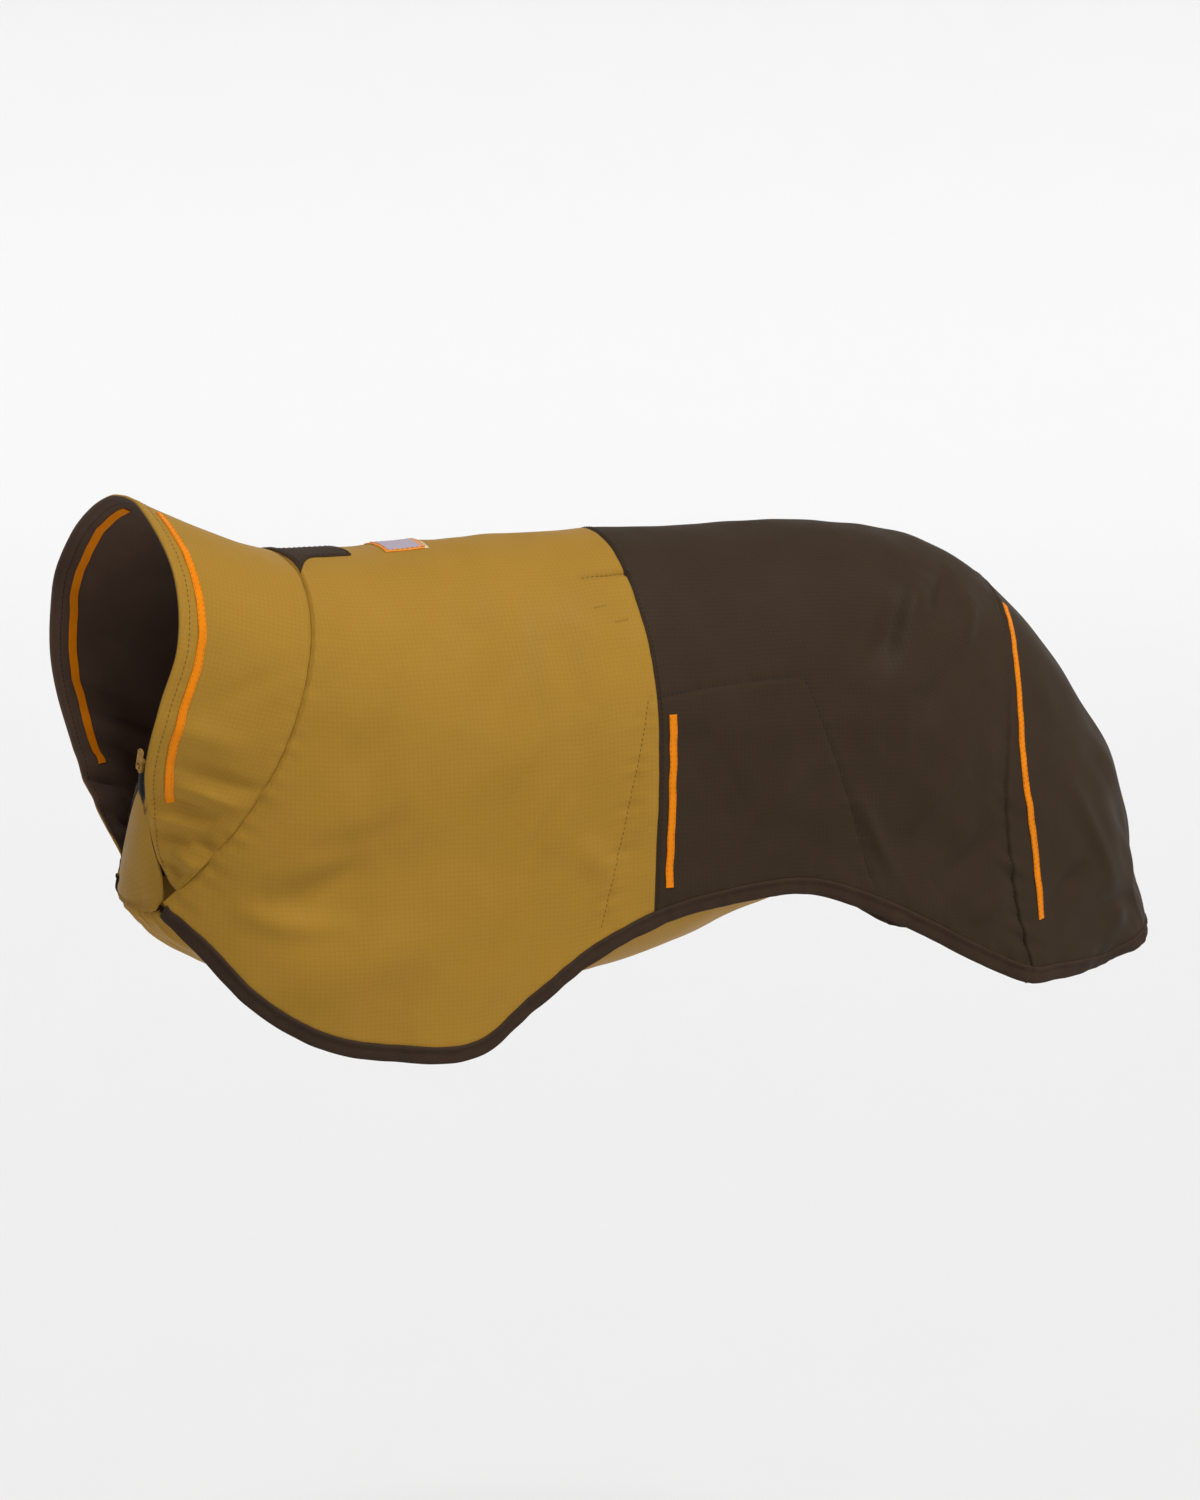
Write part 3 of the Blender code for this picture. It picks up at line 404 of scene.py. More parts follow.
def belly(t, s):
    """Outer face of the belly panel. t: 0 throat seam to 1 rear edge. s: -1 left edge to 1."""
    row = belly_row(t)
    angle = np.linspace(0, math.pi / 2, RIB_SAMPLES)
    bottom = np.column_stack([np.full(RIB_SAMPLES, row.x), row.half * np.sin(angle),
                              row.z + row.rise * (1 - np.cos(angle))])
    s = np.atleast_1d(s)
    points = np.empty((len(s), 3))
    for side in (-1, 1):
        chosen = s < 0 if side < 0 else s >= 0
        curve = np.vstack([bottom, wing_profile(row, row.z + row.rise, side)]) * MM
        share = min(row.half_cut * MM / lengths(curve)[-1], 1.0)
        points[chosen] = mirrored(curve, s[chosen] * share)
    bulge = THROAT_BULGE * MM * max(1 - t / BULGE_END, 0) ** 2
    points[:, 0] -= bulge * np.cos(s * math.pi / 2)
    return points


THROAT = {-1: np.array([-192.0, 32, -196]) * MM, 1: np.array([-196.0, -40, -180]) * MM}


def from_rim(s, distance):
    """A point at a distance in mm from the collar rim, square to it, towards the throat's other side."""
    side = -1 if s < 0 else 1
    rim = collar_rim(s)[0]
    along = unit(collar_rim(s + RIM_STEP)[0] - collar_rim(s - RIM_STEP)[0])
    reach = THROAT[side] - rim
    reach = unit(reach - along * (reach @ along))
    if side < 0:
        reach[0] -= ZIP_LEAN * (COLLAR_END + s) / (COLLAR_END - SLIDER_AT)
    return rim + unit(reach) * distance * MM


def gusset(t, s):
    """Outer face of the throat gusset. t: 0 throat seam to 1 upper edge. s: -1 left edge to 1.

    The sheet is spanned between four edges: the throat seam, the zip line up the left rim, the
    straight upper edge and the short right edge.
    """
    s = np.atleast_1d(s)
    share = ((s + 1) / 2)[:, None]
    seam, corners = (belly(0.0, places) for places in (s, [-1.0, 1.0]))
    for edge in (seam, corners):
        edge[:, 2] += 3 * GAP * MM
    throat = from_rim(-COLLAR_END, GUSSET_FROM_RIM)
    zip_line = from_rim(-(COLLAR_END + (SLIDER_AT - COLLAR_END) * t), GUSSET_FROM_RIM)
    zip_line = zip_line + (corners[0] - throat) * (1 - t) ** CORNER_TURN
    top_left = from_rim(-SLIDER_AT, GUSSET_FROM_RIM)
    top_right = from_rim(COLLAR_END, COLLAR_CLOTH + LINING + 4 * GAP)
    top_right[2] -= GUSSET_DROP * MM
    right = corners[1] + (top_right - corners[1]) * t
    top = top_left + (top_right - top_left) * share
    flat = (1 - t) * (corners[0] + (corners[1] - corners[0]) * share) + t * top
    return (1 - share) * zip_line + share * right + (1 - t) * seam + t * top - flat


class Place:
    """A place on a surface: its point, normal, and the directions of growing t and s."""

    def __init__(self, surface, t, s, outward=1):
        step = PLACE_STEP
        t = min(max(t, step), 1 - step)
        s = min(max(s, step - 1), 1 - step)
        self.point = surface(t, s)[0]
        self.along = (surface(t + step, s)[0] - surface(t - step, s)[0]) / (2 * step)
        self.across = (surface(t, s + step)[0] - surface(t, s - step)[0]) / (2 * step)
        self.normal = unit(np.cross(self.along, self.across) * outward)


STRIDES = 3


def stepped(surface, t, s, direction, distance, outward=1):
    """The (t, s) reached by going a distance in metres over the surface, in a few strides."""
    for _ in range(STRIDES):
        here = Place(surface, t, s, outward)
        flat = unit(direction - here.normal * (direction @ here.normal))
        jacobian = np.column_stack([here.along, here.across])
        dt, ds = np.linalg.lstsq(jacobian, flat * distance / STRIDES, rcond=None)[0]
        t, s = t + dt, s + ds
    return t, s


# ---- fine sheets ----------------------------------------------------------------------------
SPACING = 2.0                # distance between grid lines on the cloth, millimetres
CROWD = (0.0, 0.6, 1.3, 2.1, 3.2)    # distances of the first grid lines from a seam or an edge
WAVE_MIX = (1.0, 1.73, 2.61, 0.57)   # frequencies of an uneven wave, and what scales their sum
WAVE_PEAK = 2.4
WAVE_SHORTEST, WAVE_LONGEST, WAVE_COUNT = 26, 110, 26    # plane waves of the cloth's unevenness
WAVE_FALL, WAVE_GAIN = 0.7, 1.6      # how much lower short waves are, and what scales their sum
# Seed and height in mm of the waves of each sheet.
WAVES = {"torso": (5, 0.34), "collar": (8, 0.25), "belly": (9, 0.3), "gusset": (10, 0.25)}


def crowded(start, end, size, spacing=SPACING):
    """Values from start to end, spacing apart on a piece size long, and closer near both ends."""
    length = abs(end - start) * size
    count = max(int((length - 2 * CROWD[-1]) / spacing), 2)
    inner = np.linspace(CROWD[-1], length - CROWD[-1], count)
    edge = np.array(CROWD[:-1])
    return start + (end - start) * np.concatenate([edge, inner, length - edge[::-1]]) / length


def quad_normals(points):
    """Normal of each quad of a grid of points, twice as long as the quad's area."""
    return np.cross(points[1:, 1:] - points[:-1, :-1], points[:-1, 1:] - points[1:, :-1])


def grid_normals(points):
    """Unit normals of a grid of surface points, from the quads that meet at each point."""
    quads = quad_normals(points)
    normal = np.zeros(points.shape)
    for rows in (slice(None, -1), slice(1, None)):
        for columns in (slice(None, -1), slice(1, None)):
            normal[rows, columns] += quads
    return unit(normal)


class Sheet:
    """A surface sampled at a grid of (t, s) places, with a relief in mm added along its normal."""

    def __init__(self, surface, ts, ss, outward=1, relief=None):
        self.ts, self.ss = ts, ss
        self.points = np.array([surface(t, ss) for t in ts])
        self.normals = grid_normals(self.points) * outward
        if relief is not None:
            heights = relief(ts[:, None], ss[None, :])
            self.points = self.points + self.normals * heights[..., None] * MM
            self.normals = grid_normals(self.points) * outward

    def at(self, t, s, height=0.0):
        """Points raised by height in mm, and normals, at many places."""
        i = np.clip(np.searchsorted(self.ts, t) - 1, 0, len(self.ts) - 2)
        j = np.clip(np.searchsorted(self.ss, s) - 1, 0, len(self.ss) - 2)
        a = np.clip((t - self.ts[i]) / (self.ts[i + 1] - self.ts[i]), 0, 1)[..., None]
        b = np.clip((s - self.ss[j]) / (self.ss[j + 1] - self.ss[j]), 0, 1)[..., None]

        def mix(grid):
            near = grid[i, j] * (1 - b) + grid[i, j + 1] * b
            far = grid[i + 1, j] * (1 - b) + grid[i + 1, j + 1] * b
            return near * (1 - a) + far * a

        normals = unit(mix(self.normals))
        return mix(self.points) + normals * height * MM, normals


def wobble(x, seed):
    """An uneven wave between about -1 and 1, the same for the same seed."""
    phases = np.random.default_rng(seed).uniform(0, 2 * math.pi, len(WAVE_MIX))
    return sum(np.sin(x * k + p) for k, p in zip(WAVE_MIX, phases)) / WAVE_PEAK


# Unevenness along a line, in mm, and its seed.
Uneven = namedtuple("Uneven", "height length seed")
HEM_GATHER, HEM_SWAY = Uneven(0.22, 2.6, 21), Uneven(0.16, 9.0, 22)
PIPING_SWAY, EDGE_SWAY = Uneven(0.14, 2.8, 54), Uneven(0.6, 3.0, 53)


def uneven(wave, run, shift=0.0):
    """Heights in mm of an uneven wave at places along a line, moved by a shift of its phase."""
    return wave.height * wobble(run / wave.length + shift, wave.seed)


def waves(x, y, name):
    """Soft unevenness of a sheet over flat places in mm: plane waves in all directions."""
    seed, height = WAVES[name]
    random = np.random.default_rng(seed)
    total = 0
    for _ in range(WAVE_COUNT):
        turn, phase = random.uniform(0, 2 * math.pi, 2)
        wavelength = WAVE_SHORTEST * (WAVE_LONGEST / WAVE_SHORTEST) ** random.uniform()
        run = (x * math.cos(turn) + y * math.sin(turn)) * 2 * math.pi / wavelength
        total = total + np.sin(run + phase) * (wavelength / WAVE_LONGEST) ** WAVE_FALL
    return total * height * math.sqrt(2 / WAVE_COUNT) * WAVE_GAIN


def bell(distance, width):
    """1 at a distance of 0, and softly less on both sides of it."""
    return np.exp(-((distance / width) ** 2))


def rising(value, low, high):
    """0 up to low, 1 from high on, and even between them."""
    return np.clip((value - low) / (high - low), 0, 1)


def line_places(x, y, corners):
    """Distance in mm from flat places to a broken line, and how far along the line they lie."""
    best = np.full(np.broadcast(x, y).shape, np.inf)
    along = np.zeros(best.shape)
    run = 0.0
    for a, b in zip(corners[:-1], corners[1:]):
        step = b - a
        share = np.clip(((x - a[0]) * step[0] + (y - a[1]) * step[1]) / (step @ step), 0, 1)
        away = np.hypot(x - a[0] - share * step[0], y - a[1] - share * step[1])
        nearer = away < best
        best = np.where(nearer, away, best)
        along = np.where(nearer, run + share * np.linalg.norm(step), along)
        run += np.linalg.norm(step)
    return best, along


# How cloth lies beside a sewn line, in mm: a groove on the line, a ridge beside it, and puckers
# across it. pucker_at is where they are highest, pitch how closely they follow each other.
Seam = namedtuple("Seam", "groove groove_width ridge ridge_at ridge_width "
                          "pucker pucker_at pucker_width pitch seed")
SEAMS = {
    "neck": Seam(1.0, 1.5, 0.9, 3.2, 2.4, 1.0, 0, 9, 4.2, 11),
    "colour": Seam(0.8, 1.2, 0.3, 3.0, 1.8, 0.16, 0, 8, 5.0, 12),
    "rear": Seam(1.2, 1.3, 0.4, 3.0, 1.8, 1.0, 0, 13, 6.0, 13),
    "wing": Seam(0.9, 1.7, 0, 0, 1, 0.45, 0, 9, 3.6, 14),
    "dart": Seam(2.2, 1.7, 0, 0, 1, 0.35, 4, 3, 3.0, 15),
    "hem": Seam(0.5, 1.5, 0, 0, 1, 1.0, 0, 9, 4.6, 16),
    "rim": Seam(0.35, 1.3, 0.25, -3.4, 2.2, 0.22, 0, 4, 3.4, 31),
    "collar": Seam(0.7, 1.6, 0.35, 3.4, 2.2, 1.0, 0, 8, 4.0, 32),
    "patch": Seam(0.45, 1.0, -0.2, 2.0, 0.8, 0.12, 0, 5, 2.4, 41),
    "belly": Seam(0.7, 1.6, 0.7, 3.4, 2.4, 0.3, 0, 9, 1.3, 51),
    "belly_end": Seam(0.3, 1.5, 0.3, -4.0, 2.5, 0, 0, 1, 1, 0),
    "gusset": Seam(0.7, 1.6, 0.6, 3.0, 2.2, 0.22, 0, 8, 2.4, 52),
}

# Puckers that grow down the sides: their least height, what is added, and between which s.
NECK_PUCKERS, COLLAR_PUCKERS = (0.15, 0.5, 0.25, 0.75), (0.12, 0.4, 0.3, 0.8)
REAR_PUCKERS = (0.2, 1.1, 0.35, 0.75)


def growing(share, least, more, low, high, power=1):
    """A height that grows from least, by more, as the share goes from low to high."""
    return least + more * rising(share, low, high) ** power


def sewn(name, away, along, puckers=1.0):
    """Heights in mm beside a seam, from the distances away from it and along it."""
    seam = SEAMS[name]
    puckered = puckers * seam.pucker * bell(away - seam.pucker_at, seam.pucker_width)
    return (seam.ridge * bell(away - seam.ridge_at, seam.ridge_width)
            - seam.groove * bell(away, seam.groove_width)
            + puckered * wobble(along / seam.pitch, seam.seed))


# ---- relief of the body shell ---------------------------------------------------------------
# Sewn lines of the shell as (t, s) places on the right side; the left side has the same.
WING_LINE = np.array([(0.3214, 0.972), (0.360, 0.513), (0.3671, 0.511), (0.44, 0.506),
                      (0.5114, 0.507), (0.545, 0.72), (0.578, 0.968)])
WING_TOP, WING_FRONT, WING_REAR = 0.47, 0.28, 0.62     # the belly wing lies inside, in s and t
WING_ROOM, ROOM_GAIN = 0.75, 0.2     # deepest hollow over the wing, and more beside it, by the mm
DART_LINE = np.array([(0.323, 0.193), (0.371, 0.200)])
BAR_TACKS = [(0.3314, 0.280), (0.3486, 0.323)]

# Finer creases of the shell, as rows like those of the folds.
CREASES = [
    Fold(0.050, 0.84, 0.115, 0.66, 9, -1.7),
    Fold(0.035, 0.90, 0.105, 0.80, 6, 0.9),
    Fold(0.060, 0.55, 0.110, 0.42, 14, -0.6),
    Fold(0.065, 0.70, 0.130, 0.60, 8, -0.9),
    Fold(0.095, 0.56, 0.165, 0.72, 15, -0.5),
    Fold(0.285, 0.30, 0.29, 0.50, 11, -0.7),
    Fold(0.255, 0.52, 0.27, 0.80, 13, 0.5),
    Fold(0.245, 0.72, 0.275, 0.62, 7, -0.8),
    Fold(0.29, 0.74, 0.33, 0.86, 8, 0.7),
    Fold(0.36, 0.60, 0.355, 0.90, 9, 0.5),
    Fold(0.40, 0.62, 0.44, 0.80, 9, -0.6),
    Fold(0.46, 0.86, 0.51, 0.72, 8, 0.7),
    Fold(0.585, 0.46, 0.625, 0.30, 9, -1.2),
    Fold(0.62, 0.36, 0.655, 0.22, 8, 1.1),
    Fold(0.665, 0.30, 0.69, 0.16, 7, -1.2),
    Fold(0.69, 0.34, 0.715, 0.22, 7, 0.9),
    Fold(0.60, 0.62, 0.68, 0.40, 10, -1.0),
    Fold(0.63, 0.78, 0.70, 0.56, 9, 0.9),
    Fold(0.655, 0.90, 0.735, 0.70, 8, -1.1),
    Fold(0.70, 0.93, 0.745, 0.82, 6, 0.8),
    Fold(0.565, 0.78, 0.60, 0.92, 7, 0.7),
    Fold(0.80, 0.86, 0.86, 0.70, 8, -0.9),
    Fold(0.84, 0.50, 0.90, 0.66, 10, 0.8),
    Fold(0.90, 0.80, 0.96, 0.60, 9, -0.8),
    Fold(0.93, 0.30, 0.97, 0.45, 9, -0.7),
]
CREASE_DEPTH = 3.0               # all of them deepened by this, ahead of the colour seam
REAR_CREASE_DEPTH = 4.2          # and behind it
RIGHT_SHIFT = (0.010, -0.024)    # the right side's creases lie this far from the left side's
RIGHT_CREASES = [
    row._replace(along_a=row.along_a + RIGHT_SHIFT[0], across_a=row.across_a + RIGHT_SHIFT[1],
                 along_b=row.along_b - RIGHT_SHIFT[0], width=row.width * 1.1)
    for row in CREASES
]
HEM_PUCKERS, TAIL_PUCKERS = 0.32, 0.10
TAIL_PHASE = 900                 # sets the tail hem's puckers apart from the sides'


def torso_relief(t, s):
    """Heights in mm of the shell's creases, seams and puckers."""
    x, y, share = t * TORSO_SIZE[0], s * TORSO_SIZE[1], np.abs(s)
    left, right = (fold_depth(rows, t, share, TORSO_SIZE) / MM for rows in (CREASES, RIGHT_CREASES))
    depth = np.where(t > T_COLOUR, REAR_CREASE_DEPTH, CREASE_DEPTH)
    heights = depth * np.where(s < 0, left, right) + waves(x, y, "torso")
    heights = heights + sewn("neck", x, y, growing(share, *NECK_PUCKERS))
    heights = heights + sewn("colour", x - T_COLOUR * TORSO_SIZE[0], y)
    heights = heights + sewn("rear", np.abs(x - T_REAR * TORSO_SIZE[0]), y,
                             growing(share, *REAR_PUCKERS, power=2))
    for name, line in (("wing", WING_LINE), ("dart", DART_LINE)):
        heights = heights + sewn(name, *line_places(x, np.abs(y), line * TORSO_SIZE))
    to_side, to_tail = (1 - share) * TORSO_SIZE[1], (1 - t) * TORSO_SIZE[0]
    around = np.where(to_side < to_tail, x, y + TAIL_PHASE)
    heights = heights + sewn("hem", np.minimum(to_side, to_tail), around,
                             np.where(t > T_REAR, TAIL_PUCKERS, HEM_PUCKERS))
    over_wing = np.maximum((WING_TOP - share) * TORSO_SIZE[1], 0)
    beside_wing = np.maximum(WING_FRONT - t, t - WING_REAR) * TORSO_SIZE[0]
    return np.maximum(heights, -(WING_ROOM + ROOM_GAIN * np.maximum(over_wing, beside_wing)))


# ---- building meshes ------------------------------------------------------------------------
Flat = namedtuple("Flat", "width length area")       # what a sheet was cut to, in metres
SHARP = 60.0                 # edges steeper than this stay sharp, degrees


def run_across(points):
    """Running length along each row of a grid of points, from 0."""
    steps = np.linalg.norm(np.diff(points, axis=1), axis=2)
    return np.concatenate([np.zeros((len(points), 1)), np.cumsum(steps, axis=1)], axis=1)


def from_middle(points):
    """Signed distance of each grid point from the middle column, along its row."""
    run, middle = run_across(points), points.shape[1] // 2
    return run - run[:, middle:middle + 1]


def grid_uv(points, column=None):
    """Texture places of a grid: along its rows, and down one column, the middle one by default."""
    down = lengths(points[:, points.shape[1] // 2 if column is None else column])
    return np.stack([from_middle(points), np.repeat(down[:, None], points.shape[1], axis=1)], -1)


def flat_size(points):
    """Flat size of a grid of surface points."""
    across, along = (run_across(grid)[:, -1].max() for grid in (points, points.swapaxes(0, 1)))
    area = np.linalg.norm(quad_normals(points), axis=2).sum() / 2
    return Flat(math.ceil(across / MM) * MM, math.ceil(along / MM) * MM, float(area))


def three_cornered(points):
    """Flat size of a three-cornered cut: its long edge, and its height over that edge."""
    cut = flat_size(points)
    return cut._replace(length=2 * cut.area / cut.width)


def add_piece(name, points, faces, uv, slot, node=None):
    """A mesh with texture places in metres, its slot's material, its body and the node it replaces."""
    mesh = bpy.data.meshes.new(name)
    mesh.from_pydata(points.tolist(), [], faces)
    corners = np.empty(len(mesh.loops), np.int32)
    mesh.loops.foreach_get("vertex_index", corners)
    layer = mesh.uv_layers.new(name="cloth")
    layer.data.foreach_set("uv", np.ascontiguousarray(uv[corners], np.float32).ravel())
    mesh.shade_smooth()
    mesh.set_sharp_from_angle(angle=math.radians(SHARP))
    piece = bpy.data.objects.new(name, mesh)
    bpy.context.scene.collection.objects.link(piece)
    mesh.materials.append(MATERIALS[slot])
    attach(piece, COAT)
    if node:
        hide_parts(node)
    return piece


def grid_faces(rows, columns, first, flip):
    """Quads of a grid of points that are numbered row by row."""
    at = first + np.arange(rows * columns).reshape(rows, columns)
    quads = np.stack([at[:-1, :-1], at[:-1, 1:], at[1:, 1:], at[1:, :-1]], -1).reshape(-1, 4)
    return (quads[:, ::-1] if flip else quads).tolist()


def cloth_piece(name, node, points, normals, thickness, uv, slot, inset=0.0, cut=None):
    """A wall of cloth: outer grid, inner grid and the faces round the edge."""
    rows, columns = points.shape[:2]
    outer = points - normals * inset * MM
    inner = outer - normals * thickness * MM
    turned = np.cross(outer[1, 0] - outer[0, 0], outer[0, 1] - outer[0, 0]) @ normals[0, 0] > 0
    count = rows * columns
    faces = grid_faces(rows, columns, 0, turned) + grid_faces(rows, columns, count, not turned)
    at = np.arange(count).reshape(rows, columns)
    edge = np.concatenate([at[0], at[1:, -1], at[-1, -2::-1], at[-2:0:-1, 0]])
    after = np.roll(edge, -1)
    sides = np.stack([after, edge, edge + count, after + count], -1)
    faces += (sides[:, ::-1] if turned else sides).tolist()
    everything = np.concatenate([outer.reshape(-1, 3), inner.reshape(-1, 3)])
    piece = add_piece(name, everything, faces, np.concatenate([uv.reshape(-1, 2)] * 2), slot, node)
    cut or flat_size(points)


def tube_faces(count, around):
    """Faces of a solid through closed rings of points, numbered ring by ring, and of its flat ends."""
    at = np.arange(count * around).reshape(count, around)
    quads = np.stack([at[:-1], np.roll(at[:-1], -1, 1), np.roll(at[1:], -1, 1), at[1:]], -1)
    return quads.reshape(-1, 4).tolist() + [at[0, ::-1].tolist(), at[-1].tolist()]


def ring_piece(name, node, rings, uv, slot):
    """A solid through closed rings of points, with flat ends."""
    faces = tube_faces(*rings.shape[:2])
    first = rings[0, 0]
    out = np.cross(rings[0, 1] - first, rings[1, 0] - first) @ (first - rings[0].mean(axis=0))
    if out < 0:
        faces = [face[::-1] for face in faces]
    return add_piece(name, rings.reshape(-1, 3), faces, uv.reshape(-1, 2), slot, node)


def band(name, node, line, across, normals, profile, slot, heights=0.0):
    """A band along a line of points. profile lists its section as (across, normal) in mm."""
    profile = np.asarray(profile, float)
    size = len(line), len(profile)
    up = np.broadcast_to(profile[:, 1] + heights, size)
    rings = line[:, None] + across[:, None] * profile[None, :, 0:1] * MM
    rings = rings + normals[:, None] * up[..., None] * MM
    uv = np.stack([np.broadcast_to(lengths(line)[:, None], size),
                   np.broadcast_to(lengths(profile) * MM, size)], -1)
    ring_piece(name, node, rings, uv, slot)


def smooth_path(places, count):
    """A smooth curve of (t, s) places through a few of them."""
    knots = np.arange(len(places))
    return smooth_table(knots, places, np.linspace(0, knots[-1], count))


def beside(line, normals):
    """Directions across a line of points on a surface."""
    return unit(np.cross(normals, unit(np.gradient(line, axis=0))))


TAPE_POINTS = 160
TAPE_SWAY, SWAY_LENGTH, SWAY_SEED = 0.28, 7.5, 3     # how far a tape strays from its line
TAPE_WAVE, TAPE_WAVE_LENGTH, TAPE_LAG = 0.10, 4.0, 0.15
TAPE_ROUNDING = [(0.0, 0.15), (0.25, 0.0), (0.9, 0.08)]      # in from its edge, down from its face
TAPE_RAISE = 0.15            # from the cloth under a tape to the tape


def tape(name, node, sheet, places, raise_by=TAPE_RAISE):
    """A reflective tape sewn on a sheet along (t, s) places, with rounded edges."""
    line, normals = sheet.at(*smooth_path(places, TAPE_POINTS).T)
    across, run = beside(line, normals), lengths(line) / MM
    line = line + across * (TAPE_SWAY * wobble(run / SWAY_LENGTH, len(name) + SWAY_SEED))[:, None] * MM
    half, near, far = STRIP_WIDTH / 2, raise_by, raise_by + STRIP_THICK
    left = [(-half, near)] + [(-half + x, far - down) for x, down in TAPE_ROUNDING]
    profile = left + [(0, far)] + [(-x, height) for x, height in left[::-1]]
    run = lengths(line)[:, None] / MM
    heights = TAPE_WAVE * wobble(run / TAPE_WAVE_LENGTH + np.arange(len(profile)) * TAPE_LAG, len(name))
    band(name, node, line, across, normals, profile, "reflective", heights)


STITCH_LENGTH, STITCH_GAP, THREAD = 2.3, 0.9, 0.24
STITCH_SIDES, STITCH_RAISE = 5, 0.1
PATH_POINTS, ROW_POINTS = 400, 500   # points that a line of stitches and a whole row are read at
STITCH_RINGS = ((0.0, -0.2, 0.5), (0.5, 0.12, 1.0), (1.0, -0.2, 0.5))    # share, lift and thickness


def stitch_line(line, normals):
    """Stitches along a line of points: three rings of points for each, from end to end."""
    run = lengths(line) / MM
    pitch = STITCH_LENGTH + STITCH_GAP
    starts = np.arange(pitch / 2, run[-1] - pitch, pitch)
    turn = np.arange(STITCH_SIDES) * 2 * math.pi / STITCH_SIDES
    rings = []
    for share, lift, thickness in STITCH_RINGS:
        where = starts + STITCH_LENGTH * share
        centre, out = read_along(where, run, line), unit(read_along(where, run, normals))
        side = unit(np.cross(out, read_along(where + 0.5, run, line) - centre))
        centre = centre + out * lift * MM
        circle = side[:, None] * np.cos(turn)[None, :, None] + out[:, None] * np.sin(turn)[None, :, None]
        rings.append(centre[:, None] + circle * THREAD * thickness * MM)
    return np.stack(rings, axis=1)


def stitch_rings(sheet, places, height=STITCH_RAISE, count=PATH_POINTS):
    """Stitches along (t, s) places on a sheet, raised by height."""
    steps = np.linspace(0, len(places) - 1, count)
    path = read_along(steps, np.arange(len(places)), places)
    return stitch_line(*sheet.at(path[:, 0], path[:, 1], height))


def stitch_row(sheet, t, reach, height=STITCH_RAISE, count=ROW_POINTS):
    """Stitches across a sheet at one t, from -reach to reach."""
    places = np.column_stack([np.full(count, t), np.linspace(-reach, reach, count)])
    return stitch_rings(sheet, places, height, count)


def line_stitches(line, normals):
    """Stitches along a line of points beside a sheet."""
    run = lengths(line)
    even = np.linspace(0, run[-1], len(line))
    normals = unit(read_along(even, run, normals))
    return stitch_line(read_along(even, run, line) + normals * STITCH_RAISE * MM, normals)


def stitches(name, rows, slot, material):
    """All stitches of one thread, as one mesh, from lists of stitch rings."""
    rings = np.concatenate(rows)
    count, steps, around = rings.shape[:3]
    one = tube_faces(steps, around)
    faces = [[k * steps * around + v for v in face] for k in range(count) for face in one]
    points = rings.reshape(-1, 3)
    piece = add_piece(name, points, faces, points[:, :2], slot)
    piece.data.materials[0] = material


# ---- materials ------------------------------------------------------------------------------
SHEEN_SPREAD = 0.4
SLANT = 0.8                  # slope of slanting ribs
GLOSS_FROM, GLOSS_TO, GLOSS_LESS, GLOSS_MORE = 0.2, 1.1, 0.07, 0.09


